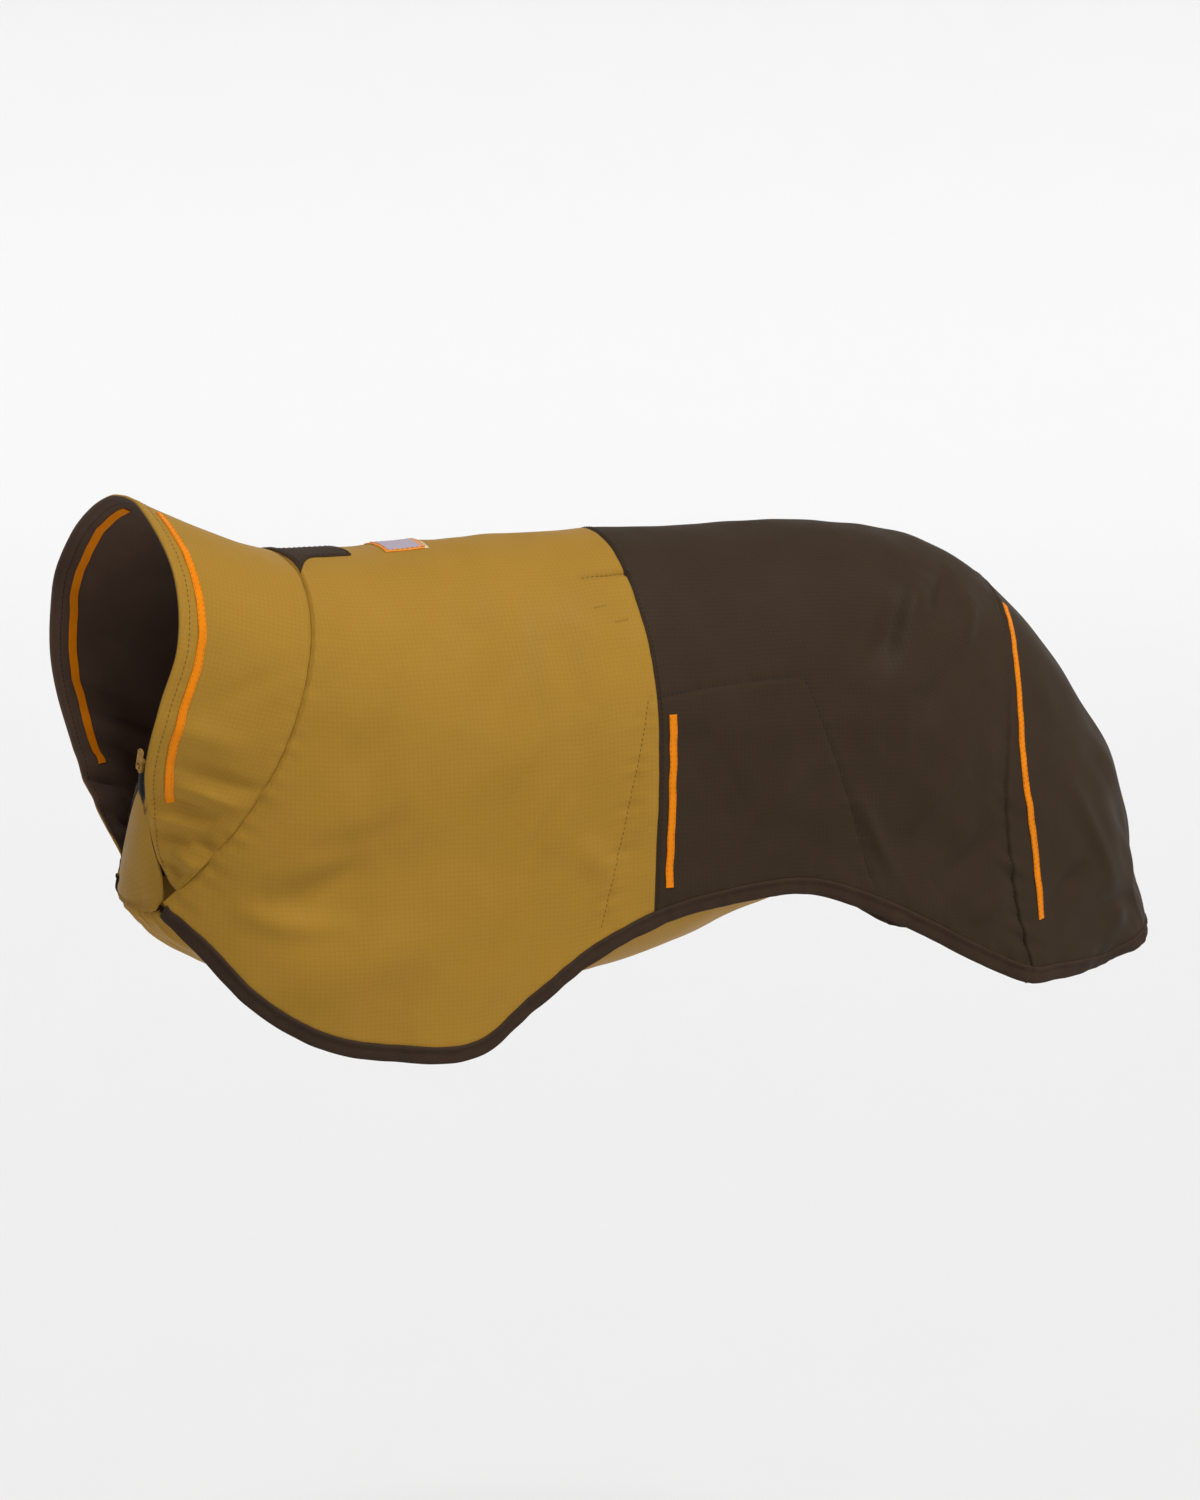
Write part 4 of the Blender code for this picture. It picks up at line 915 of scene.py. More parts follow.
class Shader:
    """A material's node tree with short names for the nodes this script needs."""

    def __init__(self, name, colour, rough, sheen, specular):
        self.material = bpy.data.materials.new(name)
        self.material.use_nodes = True
        self.tree = self.material.node_tree
        self.shader = self.tree.nodes["Principled BSDF"]
        for socket, value in (("Base Color", colour), ("Roughness", rough), ("Sheen Weight", sheen),
                              ("Sheen Roughness", SHEEN_SPREAD), ("Specular IOR Level", specular)):
            self.set(self.shader, socket, value)
        cloth = self.node("ShaderNodeUVMap", uv_map="cloth").outputs["UV"]
        split = self.node("ShaderNodeSeparateXYZ", {0: cloth})
        self.u, self.v = split.outputs["X"], split.outputs["Y"]

    def set(self, node, socket, value):
        """Link a socket, or set it to a number or a colour."""
        if isinstance(value, bpy.types.NodeSocket):
            self.tree.links.new(value, node.inputs[socket])
        else:
            node.inputs[socket].default_value = (*value, 1.0) if isinstance(value, tuple) else value

    def node(self, kind, inputs=(), **settings):
        made = self.tree.nodes.new(kind)
        for key, value in settings.items():
            setattr(made, key, value)
        for socket, value in dict(inputs).items():
            self.set(made, socket, value)
        return made

    def math(self, operation, a, b=0.0):
        return self.node("ShaderNodeMath", {0: a, 1: b}, operation=operation).outputs[0]

    def range(self, value, low, high, to_low=0.0, to_high=1.0):
        inputs = {"Value": value, "From Min": low, "From Max": high, "To Min": to_low, "To Max": to_high}
        return self.node("ShaderNodeMapRange", inputs, interpolation_type="SMOOTHSTEP").outputs["Result"]

    def noise(self, size, detail):
        """Soft noise from 0 to 1 whose features are about size millimetres wide."""
        place = self.node("ShaderNodeTexCoord").outputs["Object"]
        inputs = {"Vector": place, "Scale": 1 / (size * MM), "Detail": detail}
        return self.node("ShaderNodeTexNoise", inputs).outputs["Fac"]

    def lines(self, place, period, width):
        """1 on lines that repeat every period mm and are width mm wide, else 0."""
        turn = self.math("FRACT", self.math("MULTIPLY", place, 1 / (period * MM)))
        away = self.math("ABSOLUTE", self.math("SUBTRACT", turn, 0.5))
        return self.range(away, width / period, 0.0)

    def pattern(self, kind, period, width):
        """A layer of cloth from 0 to 1: noise of a size and detail, or threads."""
        u, v = self.u, self.v
        if kind == "noise":
            return self.noise(period, width)
        if kind == "ribs":
            return self.lines(v, period, width)
        if kind == "slant":
            return self.lines(self.math("ADD", u, self.math("MULTIPLY", v, SLANT)), period, width)
        if kind == "cross":
            u, v = self.math("ADD", u, v), self.math("SUBTRACT", u, v)
        both = self.lines(u, period, width), self.lines(v, period, width)
        return self.math("MULTIPLY" if kind == "plain" else "MAXIMUM", *both)

    def total(self, layers, shares):
        """Sum of the layers, each by its share."""
        total = 0.0
        for layer, share in zip(layers, shares):
            if share:
                total = self.math("ADD", self.math("MULTIPLY", layer, share), total)
        return total

    def tint(self, factor, a, b):
        """Colour a where factor is 0 and b where it is 1."""
        return self.node("ShaderNodeMix", {0: factor, 6: a, 7: b}, data_type="RGBA").outputs[2]

    def bump(self, height, distance, strength):
        inputs = {"Height": height, "Distance": distance * MM, "Strength": strength}
        self.set(self.shader, "Normal", self.node("ShaderNodeBump", inputs).outputs["Normal"])


def dimmed(colour, by):
    """A colour darkened, or lightened if by is over 1."""
    return tuple(value * by for value in colour)


# One layer of a look: its pattern with period and width in mm (for noise, size and detail), and
# its shares in the shade, in the relief and in the roughness.
Layer = namedtuple("Layer", "pattern period width shade relief gloss", defaults=[0.0])
# A look: the shade from low to high turns from the colour times first to the colour times last,
# and the relief is depth mm high.
Look = namedtuple("Look", "rough sheen specular low high first last depth strength layers")
RIPSTOP = Look(0.54, 0.02, 0.08, 0.0, 0.75, 1.08, 0.86, 1.0, 0.55, [
    Layer("grid", 2.8, 0.42, 0.22, 0.06, 0.3),      # raised grid of thicker threads
    Layer("grid", 0.55, 0.2, 0.0, 0.02),
    Layer("noise", 38, 3, 0.35, 0.22, 1.0),
    Layer("noise", 7, 2, 0.10, 0.08),
])
PLAIN_WEAVE = Look(0.72, 0.05, 0.1, 0.2, 1.0, 1.15, 0.8, 1.0, 0.5, [
    Layer("plain", 0.55, 0.25, 0.4, 0.12),
    Layer("noise", 22, 3, 0.8, 0.5),
])
ELASTIC_TAPE = Look(0.75, 0.0, 0.08, 0.1, 1.1, 0.82, 1.35, 1.0, 0.6, [
    Layer("ribs", 0.9, 0.4, 0.35, 0.16),
    Layer("slant", 0.8, 0.3, 0.25, 0.10),
    Layer("noise", 16, 3, 0.6, 0.3),
])
BRIGHT_TAPE = Look(0.42, 0.0, 0.1, 0.2, 1.0, 1.0, 0.80, 1.0, 0.5, [
    Layer("cross", 0.8, 0.3, 0.3, 0.08),
    Layer("noise", 14, 2, 0.8, 0.2),
])
MOULDED = Look(0.45, 0.0, 0.12, 0.45, 0.75, 1.0, 1.6, 0.12, 0.35, [
    Layer("noise", 0.6, 2, 0.0, 1.0),
    Layer("noise", 2.5, 3, 1.0, 0.0),
])
TWIST = Look(0.6, 0.2, 0.22, 0.0, 1.0, 1.0, 1.0, 0.1, 0.4, [Layer("noise", 0.4, 1, 0.0, 1.0)])


def dressed(name, colour, look):
    """A material whose layers tint its colour, raise its surface and vary its gloss."""
    made = Shader(name, colour, look.rough, look.sheen, look.specular)
    layers = [made.pattern(*layer[:3]) for layer in look.layers]
    shades, reliefs, glosses = zip(*(layer[3:] for layer in look.layers))
    if any(shades):
        shade = made.range(made.total(layers, shades), look.low, look.high)
        mixed = made.tint(shade, dimmed(colour, look.first), dimmed(colour, look.last))
        made.set(made.shader, "Base Color", mixed)
    if any(glosses):
        made.set(made.shader, "Roughness", made.range(
            made.total(layers, glosses), GLOSS_FROM, GLOSS_TO,
            look.rough - GLOSS_LESS, look.rough + GLOSS_MORE))
    made.bump(made.total(layers, reliefs), look.depth, look.strength)
    return made.material


LABEL_EDGE, EDGE_BLUR = 2.2, 0.3     # orange edge of the label
FOLD_EDGE, FOLD_START, FOLD_BLUR = 4.5, 2.4, 0.2     # its last edge and fold, from its rear end
LABEL_STRIPES, LABEL_RIBS = (1.6, 0.5), (0.5, 0.2)   # period and width
STRIPE_SHARE, STRIPE_DARK, LABEL_RELIEF = 0.5, 0.72, 0.1
LABEL_LOOK = (0.75, 0.2, 0.22)       # roughness, sheen and specular
FLOOR_COLOUR, FLOOR_LOOK = (0.74, 0.74, 0.74), (0.7, 0.0, 0.22)
FLOOR_PATCHES, FLOOR_GLOSS = (120, 2), (0.3, 0.7, 0.62, 0.75)


def woven_label(name, field, edge, fold):
    """A plain woven label: pale field with fine stripes, orange edge, lighter folded end."""
    made = Shader(name, field, *LABEL_LOOK)

    def step(value, at, blur):
        return made.range(value, at * MM, (at + blur) * MM)

    side = step(made.math("ABSOLUTE", made.u), LABEL_WIDTH / 2 - LABEL_EDGE, EDGE_BLUR)
    front = step(made.v, LABEL_EDGE, -EDGE_BLUR)
    rear = step(made.v, LABEL_LENGTH - FOLD_EDGE, EDGE_BLUR)
    last = step(made.v, LABEL_LENGTH - FOLD_START, FOLD_BLUR)
    border = made.math("MAXIMUM", side, made.math("MAXIMUM", front, rear))
    stripes = made.lines(made.u, *LABEL_STRIPES)
    base = made.tint(made.math("MULTIPLY", stripes, STRIPE_SHARE), field, dimmed(field, STRIPE_DARK))
    made.set(made.shader, "Base Color", made.tint(last, made.tint(border, base, edge), fold))
    made.bump(made.total([made.lines(made.v, *LABEL_RIBS), stripes], [LABEL_RELIEF] * 2), 1.0, 0.5)
    return made.material


def floor_material():
    """Pale floor with soft patches of more and less gloss."""
    made = Shader("pale_floor", FLOOR_COLOUR, *FLOOR_LOOK)
    made.set(made.shader, "Roughness", made.range(made.noise(*FLOOR_PATCHES), *FLOOR_GLOSS))
    return made.material


OCHRE, BROWN, ORANGE = (0.325, 0.174, 0.022), (0.036, 0.022, 0.012), (0.80, 0.225, 0.0)
MATERIALS = {
    "ochre_shell": dressed("ochre_ripstop", OCHRE, RIPSTOP),
    "brown_shell": dressed("brown_ripstop", BROWN, RIPSTOP._replace(rough=0.60, sheen=0.0, last=0.80)),
    "lining": dressed("lining_cloth", (0.082, 0.050, 0.034), PLAIN_WEAVE),
    "binding": dressed("binding_tape", (0.040, 0.024, 0.015), ELASTIC_TAPE),
    "reflective": dressed("orange_tape", ORANGE, BRIGHT_TAPE),
    "label": woven_label("label_cloth", (0.40, 0.34, 0.40), (0.74, 0.25, 0.02), (0.60, 0.52, 0.36)),
    "zip_plastic": dressed("zip_plastic", (0.014, 0.012, 0.011), MOULDED),
    "zip_slider": dressed("slider_coating", (0.30, 0.155, 0.032), MOULDED._replace(rough=0.38)),
}
OCHRE_THREAD = dressed("ochre_thread", dimmed(OCHRE, 0.45), TWIST)
BROWN_THREAD = dressed("brown_thread", dimmed(BROWN, 0.25), TWIST)
TACK_THREAD = dressed("tack_thread", dimmed(OCHRE, 1.05), TWIST)
ORANGE_THREAD = dressed("orange_thread", dimmed(ORANGE, 0.7), TWIST)


# ---- pieces ---------------------------------------------------------------------------------
TORSO_S = crowded(-1.0, 1.0, TORSO_SIZE[1])
Panel = namedtuple("Panel", "name node ts slot")
PANELS = [
    Panel("yoke_cloth", "yoke_panel", crowded(T_NECK, T_COLOUR, TORSO_SIZE[0]), "ochre_shell"),
    Panel("rear_cloth", "rear_panel", crowded(T_COLOUR, T_REAR, TORSO_SIZE[0]), "brown_shell"),
    Panel("tail_cloth", "tail_panel", crowded(T_REAR, 1.0, TORSO_SIZE[0]), "brown_shell"),
]
# The yoke's front edge runs on under the collar, by more towards the throat, and sunk a little.
TUCK, TUCK_THROAT, TUCK_DEPTH = 1.4, 2.0, 0.9


def make_shell():
    """Yoke, rear panel and tail panel from one fine sheet."""
    ts = np.concatenate([PANELS[0].ts] + [panel.ts[1:] for panel in PANELS[1:]])
    sheet = Sheet(torso, ts, TORSO_S, relief=torso_relief)
    first = 0
    for name, node, panel_ts, slot in PANELS:
        rows = slice(first, first + len(panel_ts))
        first = rows.stop - 1
        points, normals = sheet.points[rows], sheet.normals[rows]
        if node == "tail_panel":
            uv = grid_uv(points, len(TORSO_S) // 4)
        else:
            uv = np.stack([from_middle(points[..., 1:]), points[..., 0]], -1)
        if node == "yoke_panel":
            reach = (TUCK + TUCK_THROAT * np.abs(TORSO_S) ** 3)[:, None]
            tucked = points[0] + (unit(points[0] - points[1]) * reach - normals[0] * TUCK_DEPTH) * MM
            points = np.concatenate([tucked[None], points])
            normals, uv = (np.concatenate([grid[:1], grid]) for grid in (normals, uv))
        cloth_piece(name, node, points, normals, SHELL, uv, slot)
    return sheet


# The folded tape's section: distance out from the cloth's edge, and height over its outer face.
HEM_PROFILE = np.array([
    (-1.7, 0.10), (-1.7, 0.60), (-1.35, 1.00), (-0.6, 1.30), (0.3, 1.25), (1.1, 0.90), (2.0, 0.50),
    (3.4, 0.72), (6.2, 0.86), (8.0, 0.72), (9.1, 0.32), (9.6, -0.30), (9.6, -1.05), (9.1, -1.70),
    (8.0, -2.10), (5.0, -2.22), (2.0, -2.16), (-0.6, -2.24), (-1.5, -2.05), (-1.7, -1.50),
])
HEM_STEP = 2.2
CORNER_SPAN = 16.0           # the hem turns evenly over this far on each side of a corner
HEM_SOFTER = 6               # rounds of smoothing of its direction
SEWN_WIDTH = 3.0             # the sewn inner edge, where the tape is gathered
HEM_LAG = 5                  # how much later its unevenness comes across the tape
HEM_STITCH_IN, HEM_STITCH_UP = 0.15, 0.98


def round_hem(rows):
    """Grid values along the shell's hem, down its left side, round the tail and back to the throat."""
    return np.concatenate([rows[:, 0], rows[-1, 1:-1], rows[::-1, -1]])


def make_binding(sheet):
    """The hem's binding tape, gathered a little along its sewn edge, and its line of stitching."""
    edge = round_hem(sheet.points)
    run = lengths(edge) / MM
    where = np.linspace(0, run[-1], int(run[-1] / HEM_STEP))
    edge = read_along(where, run, edge)
    out = unit(read_along(where, run, round_hem(sheet.normals)))
    rows, columns = sheet.points.shape[:2]
    for corner in (run[rows - 1], run[rows + columns - 2]):
        first, last = np.searchsorted(where, [corner - CORNER_SPAN, corner + CORNER_SPAN])
        share = np.linspace(0, 1, last - first)[:, None]
        out[first:last] = unit(out[first] * (1 - share) + out[last] * share)
    across = -beside(edge, out)
    for _ in range(HEM_SOFTER):
        across[1:-1] = unit(across[:-2] + across[1:-1] * 2 + across[2:])
    places, inward = where[:, None], HEM_PROFILE[None, :, 0]
    heights = uneven(HEM_GATHER, places) * bell(inward, SEWN_WIDTH)
    heights = heights + uneven(HEM_SWAY, places, inward / HEM_LAG)
    band("hem_tape", "hem_binding", edge, across, out, HEM_PROFILE, "binding", heights)
    return edge + (out * HEM_STITCH_UP - across * HEM_STITCH_IN) * MM, out


COLLAR_SPACING, INSIDE_STEP = 1.8, 4     # grid lines across the collar, and fewer on its inside
COLLAR_T = crowded(0.0, 1.0, COLLAR_SIZE[0], COLLAR_SPACING)
COLLAR_S = crowded(-COLLAR_END, COLLAR_END, COLLAR_SIZE[1])
COLLAR_DEPTH = COLLAR_CLOTH + GAP + LINING
RIM_STITCH, RIM_STITCH_INSIDE = 6.0, 5.4     # topstitching to the rim, on the two faces
STITCH_OVER = 0.05           # stitches over the face of a lining or a patch
END_MARGIN = 0.01            # from the collar's ends to its stitching and to the zip, as s
RIM_TURN = 0.6               # shell cloth turned in over the rim
RIM_LAP = 0.12               # the lining's edge laid over the turned rim
RIM_TURNS, LAP_TURNS = np.linspace(0, math.pi, 7)[1:-1], np.radians((165, 140, 115, 92))
COLLAR_DEPTHS = 3.0          # all the collar's creases deepened by this
COLLAR_CREASES = [
    Fold(0.02, 0.69, 0.80, 0.665, 4.5, -1.0),
    Fold(0.10, 0.735, 0.70, 0.715, 4.0, 1.0),
    Fold(0.30, 0.775, 0.98, 0.765, 4.5, -1.3),
    Fold(0.35, 0.815, 1.0, 0.805, 4.0, 1.2),
    Fold(0.45, 0.855, 1.0, 0.850, 4.0, -1.1),
    Fold(0.02, 0.86, 0.40, 0.835, 4.0, -1.0),
    Fold(0.05, 0.91, 0.60, 0.895, 4.0, 0.9),
    Fold(0.30, 0.945, 0.95, 0.925, 3.5, -0.8),
    Fold(0.10, 0.40, 0.60, 0.52, 9, -0.6),
    Fold(0.35, 0.60, 0.90, 0.58, 7, 0.6),
]


def collar_relief(t, s):
    """Heights in mm of the collar's creases, its stitched rim and its gathered seam."""
    x, y, share = t * COLLAR_SIZE[0], s * COLLAR_SIZE[1], np.abs(s)
    creases = fold_depth(COLLAR_CREASES, t, share, COLLAR_SIZE) / MM
    return (COLLAR_DEPTHS * creases + waves(x, y, "collar")
            + sewn("rim", COLLAR_SIZE[0] - x - RIM_STITCH, y)
            + sewn("collar", x, y, growing(share, *COLLAR_PUCKERS)))


def make_collar():
    """Outer collar turned in over its rim, its lining, and the topstitching on both faces."""
    sheet = Sheet(collar, COLLAR_T, COLLAR_S, -1, collar_relief)
    points, normals = sheet.points, sheet.normals
    ahead = unit(points[-1] - points[-3])
    middle = points[-1] - normals[-1] * COLLAR_DEPTH / 2 * MM

    def turned_out(turn):
        return (normals[-1] * math.cos(turn) + ahead * math.sin(turn))[None]

    loop = [points] + [middle + turned_out(turn) * COLLAR_DEPTH / 2 * MM for turn in RIM_TURNS]
    turned = np.flatnonzero((1 - COLLAR_T) * COLLAR_SIZE[0] <= RIM_TURN)[::-1]
    loop.append(points[turned] - normals[turned] * COLLAR_DEPTH * MM)
    inside = np.arange(turned[-1] - 1, -1, -INSIDE_STEP)
    loop.append(points[inside] - normals[inside] * COLLAR_CLOTH * MM)
    rings = np.concatenate(loop).swapaxes(0, 1)
    along = from_middle(points)[len(COLLAR_T) // 2]
    uv = np.stack([np.repeat(along[:, None], rings.shape[1], 1), run_across(rings)], -1)
    ring_piece("collar_cloth", "collar_shell", rings, uv, "ochre_shell")
    flat_size(points)

    outs = [turned_out(turn) for turn in LAP_TURNS]
    lined = [points[:-1]] + [middle + out * (RIM_LAP - COLLAR_DEPTH / 2) * MM for out in outs]
    lined, faces = np.concatenate(lined), np.concatenate([normals[:-1]] + [-out for out in outs])
    cloth_piece("collar_inside", "collar_lining", lined, faces, LINING, grid_uv(lined), "lining",
                inset=COLLAR_CLOTH + GAP)
    return sheet, [stitch_row(sheet, 1 - inset / COLLAR_SIZE[0], COLLAR_END - END_MARGIN, raised)
                   for inset, raised in ((RIM_STITCH, STITCH_RAISE),
                                         (RIM_STITCH_INSIDE, -(COLLAR_DEPTH + STITCH_OVER)))]


TAPE_STITCH_IN, TAPE_STITCH_OVER, TAPE_STITCH_POINTS = 0.7, 0.1, 200     # from its edge and face
TAPE_SINK = 0.2              # of the inner strips into the lining
STRIP_START = 0.999          # where the collar strips' distances start, as t
COLLAR_STRIP_FROM, COLLAR_STRIP_TO, COLLAR_STRIP_POINTS = 0.07, 0.77, 12


def tape_stitches(sheet, places):
    """A row of stitches near each edge of a tape."""
    line, normals = sheet.at(*smooth_path(places, TAPE_STITCH_POINTS).T)
    reach = beside(line, normals) * (STRIP_WIDTH / 2 - TAPE_STITCH_IN) * MM
    line = line + normals * (STRIP_THICK + TAPE_STITCH_OVER) * MM
    return [line_stitches(line + reach * side, normals) for side in (-1, 1)]


def make_strips(shell, collar_sheet):
    """Reflective strips on the collar's two faces, behind the colour seam and behind the rear seam."""
    rows = []
    for side, sign in (("left", -1), ("right", 1)):
        places = []
        for share in np.linspace(COLLAR_STRIP_FROM, COLLAR_STRIP_TO, COLLAR_STRIP_POINTS):
            rim = STRIP_START, sign * share
            down = -Place(collar, *rim, -1).along
            places.append(stepped(collar, *rim, down, STRIP_FROM_RIM * MM, -1))
        tape(f"collar_tape_{side}", f"collar_strip_{side}", collar_sheet, places)
        rows += tape_stitches(collar_sheet, places)
        tape(f"inner_tape_{side}", f"lining_strip_{side}", collar_sheet, places,
             -(COLLAR_DEPTH + STRIP_THICK) - TAPE_SINK)
        for strip in BODY_STRIPS:
            seam = T_COLOUR if strip.seam == "colour" else T_REAR
            places = []
            for share in np.linspace(0, 1, strip.points):
                s = sign * (strip.top + (strip.bottom - strip.top) * share)
                behind = stepwise(strip.behind, share)
                places.append(stepped(torso, seam, s, Place(torso, seam, s).along, behind * MM))
            name = strip.name.replace("strip", "tape")
            tape(f"{name}_{side}", f"{strip.name}_{side}", shell, places)
            rows += tape_stitches(shell, places)
    return rows


BACK_PROBES = 120            # places along the back that tell t from the distance behind the seam


def back_places(behind, half):
    """(t, s) of a place on the back from its distances behind the seam and beside the spine, in mm."""
    ts = np.linspace(0, T_COLOUR, BACK_PROBES)
    run = lengths(np.array([torso(t, 0.0)[0] for t in ts])) / MM
    ribs = np.array([lengths(rib_profile(t))[-1] for t in ts]) / MM
    t = np.interp(behind, run, ts)
    return t, half / np.interp(t, ts, ribs)


PATCH_STITCH_IN = 1.8        # stitches to a patch's edge
PATCH_SPACING = 1.5
PATCH_RISE, LABEL_RISE = 1.0, 0.9    # outer faces over the shell
PATCH_LIFT = 0.1             # the patches' inner faces over their solids'
SIDE_POINTS, FRONT_POINTS = 60, 40   # of a patch's line of stitches


def patch_piece(name, node, shell, behind, halves, slot, height):
    """A patch on the back whose edges are pressed down by its stitching, which is returned."""
    share = crowded(-1, 1, halves.max(), PATCH_SPACING)
    x, y = np.broadcast_arrays(behind[:, None], halves[:, None] * share)
    x, (t, s) = x - behind[0], back_places(x, y)
    edge = np.minimum.reduce([x, behind[-1] - behind[0] - x, halves[:, None] - np.abs(y)])
    points, normals = shell.at(t, s)
    points = points + normals * (height + sewn("patch", edge, x + y))[..., None] * MM
    cloth_piece(name, node, points, grid_normals(points), PATCH_THICK - PATCH_LIFT,
                np.stack([y, x], -1) * MM, slot)
    low, high = behind[0] + PATCH_STITCH_IN, behind[-1] - PATCH_STITCH_IN
    side, front = np.linspace(low, high, SIDE_POINTS), np.linspace(-1, 1, FRONT_POINTS)
    width = np.interp(side, behind, halves) - PATCH_STITCH_IN
    outline_x = np.concatenate([side, 0 * front + high, side[::-1], 0 * front + low])
    outline_y = np.concatenate([width, -front * width[-1], -width[::-1], front * width[0]])
    return stitch_rings(shell, np.column_stack(back_places(outline_x, outline_y)), height + STITCH_OVER)


PATCH_CORNER = (3.0, 2.0)    # the leash patch's rear corners are rounded over this length and width


def make_patches(shell):
    """The leash opening's patch at the neck seam and the plain label behind it."""
    table = np.array(LEASH_PATCH)
    behind = crowded(table[0, 0], table[-1, 0], 1.0, PATCH_SPACING)
    halves = smooth_table(table[:, 0], table[:, 1:], behind)[:, 0]
    tip = rising(table[-1, 0] - behind, 0, PATCH_CORNER[0])
    halves = halves - PATCH_CORNER[1] * (1 - np.sqrt(1 - (1 - tip) ** 2))
    around = patch_piece("leash_opening", "leash_patch", shell, behind, halves, "binding", PATCH_RISE)
    behind = crowded(LABEL_FROM_SEAM, LABEL_FROM_SEAM + LABEL_LENGTH, 1.0, PATCH_SPACING)
    halves = np.full(len(behind), LABEL_WIDTH / 2)
    return around, patch_piece("back_label", "plain_label", shell, behind, halves, "label", LABEL_RISE)


BELLY_SIZE = (440.0, 198.0)
BELLY_END_STITCH = 8.0       # stitched line to the belly panel's rear edge
BELLY_CREASES = [
    Fold(0.03, 0.10, 0.10, 0.85, 9, -1.2),
    Fold(0.10, 0.95, 0.20, 0.35, 8, 1.0),
    Fold(0.22, 0.80, 0.30, 0.20, 11, -1.0),
    Fold(0.40, 0.90, 0.44, 0.30, 12, 0.9),
    Fold(0.55, 0.05, 0.66, 0.25, 10, -1.1),
    Fold(0.62, 0.05, 0.76, 0.16, 9, 0.9),
    Fold(0.80, 0.30, 0.95, 0.10, 10, -1.0),
    Fold(0.70, 0.45, 0.92, 0.50, 12, 0.8),
]


def belly_relief(t, s):
    """Heights in mm of the belly panel's creases, throat seam and rear edge."""
    x, y = t * BELLY_SIZE[0], s * BELLY_SIZE[1]
    creases = fold_depth(BELLY_CREASES, t, np.abs(s), BELLY_SIZE) / MM
    return (creases + waves(x, y, "belly") + sewn("belly", x, y)
            + sewn("belly_end", BELLY_SIZE[0] - x - BELLY_END_STITCH, y))


BELLY_SPACING, BELLY_ROW_SPACING = 2.6, 3
GUSSET_SIZE, GUSSET_SPACING = (70.0, 78.0), 1.6
GUSSET_STITCHES = (0.988, 0.95, 0.55, 90)    # t, reach, height and points of its row of stitches
ZIP_COVER = 1.8              # the gusset's left edge lies over the zip, this far from the rim
COVER_TURN = 11              # how late that edge turns to the throat corner
COVER_FROM = 0.03            # and where its cover is full, as t
EDGE_RIDGE, EDGE_SPREAD, EDGE_FROM = 2.0, 7, 8       # raised left edge, above the throat seam
EDGE_HEM, EDGE_HEM_AT, EDGE_HEM_SPREAD = 0.35, 3, 2      # and its folded hem
PIPING_POINTS, PIPING_REACH, PIPING_LAG = 60, 0.985, 0.2
# Section of the dark edge: distance up from the gusset's edge, and height over its outer face.
PIPING_PROFILE = [
    (-1.6, 0.05), (-1.6, 0.45), (-1.2, 0.62), (0.4, 0.55), (PIPING_WIDTH - 0.3, 0.30),
    (PIPING_WIDTH + 0.2, -0.3), (PIPING_WIDTH + 0.2, -1.1), (PIPING_WIDTH - 0.3, -1.7),
    (0.0, -1.9), (-1.6, -1.9), (-1.6, -1.4),
]


def front_gusset(t, s):
    """The gusset with its left edge drawn over the zip, close to the collar rim."""
    share = rising(-np.atleast_1d(s), -1, 1)[:, None]
    at = -(COLLAR_END + (SLIDER_AT - COLLAR_END) * t)
    corner, throat = belly(0.0, [-1.0])[0], from_rim(-COLLAR_END, GUSSET_FROM_RIM)
    corner[2] += 3 * GAP * MM
    over = from_rim(at, ZIP_COVER) - from_rim(at, GUSSET_FROM_RIM)
    turned = (corner - throat) * ((1 - t) ** COVER_TURN - (1 - t) ** CORNER_TURN)
    return gusset(t, s) + (over * min(t / COVER_FROM, 1.0) + turned) * share ** 3


def gusset_relief(t, s):
    """Heights in mm of the gusset's throat seam and of its raised, stitched left edge."""
    x, y = t * GUSSET_SIZE[0], s * GUSSET_SIZE[1] / 2
    left = GUSSET_SIZE[1] / 2 + y
    return (waves(x, y, "gusset") + sewn("gusset", x, y)
            + EDGE_RIDGE * bell(left, EDGE_SPREAD) * rising(x, 0, EDGE_FROM)
            + EDGE_HEM * bell(left - EDGE_HEM_AT, EDGE_HEM_SPREAD) * (1 + uneven(EDGE_SWAY, x)))


def make_front():
    """Throat gusset with its dark edge, and the belly panel with its wings."""
    ts = crowded(0, 1, GUSSET_SIZE[0], GUSSET_SPACING)
    ss = crowded(-1, 1, GUSSET_SIZE[1] / 2, GUSSET_SPACING)
    sheet = Sheet(front_gusset, ts, ss, -1, gusset_relief)
    cloth_piece("gusset_cloth", "throat_gusset", sheet.points, sheet.normals, SHELL,
                grid_uv(sheet.points), "ochre_shell", cut=three_cornered(sheet.points))
    shares = np.linspace(-PIPING_REACH, PIPING_REACH, PIPING_POINTS)
    line, normals = sheet.at(np.ones(PIPING_POINTS), shares)
    up = beside(line, normals)
    up *= np.sign(up[:, 2:])
    run = lengths(line)[:, None] / MM
    heights = uneven(PIPING_SWAY, run, np.arange(len(PIPING_PROFILE)) * PIPING_LAG)
    band("gusset_edge", "gusset_piping", line, up, normals, PIPING_PROFILE, "binding", heights)
    even = np.linspace(0, 1, int(BELLY_SIZE[0] / BELLY_ROW_SPACING))
    rows = np.sort(np.concatenate([even, belly_knots()[1:-1]]))
    under = Sheet(belly, rows, crowded(-1, 1, BELLY_SIZE[1], BELLY_SPACING), -1, belly_relief)
    cloth_piece("belly_cloth", "belly_panel", under.points, under.normals, SHELL,
                grid_uv(under.points), "ochre_shell")
    return [stitch_row(sheet, *GUSSET_STITCHES)]


GUARD_TIP = 0.12             # width of the flap's upper end, as a share of its full width
GUARD_LENGTH, GUARD_SPACING = 150, 1.5


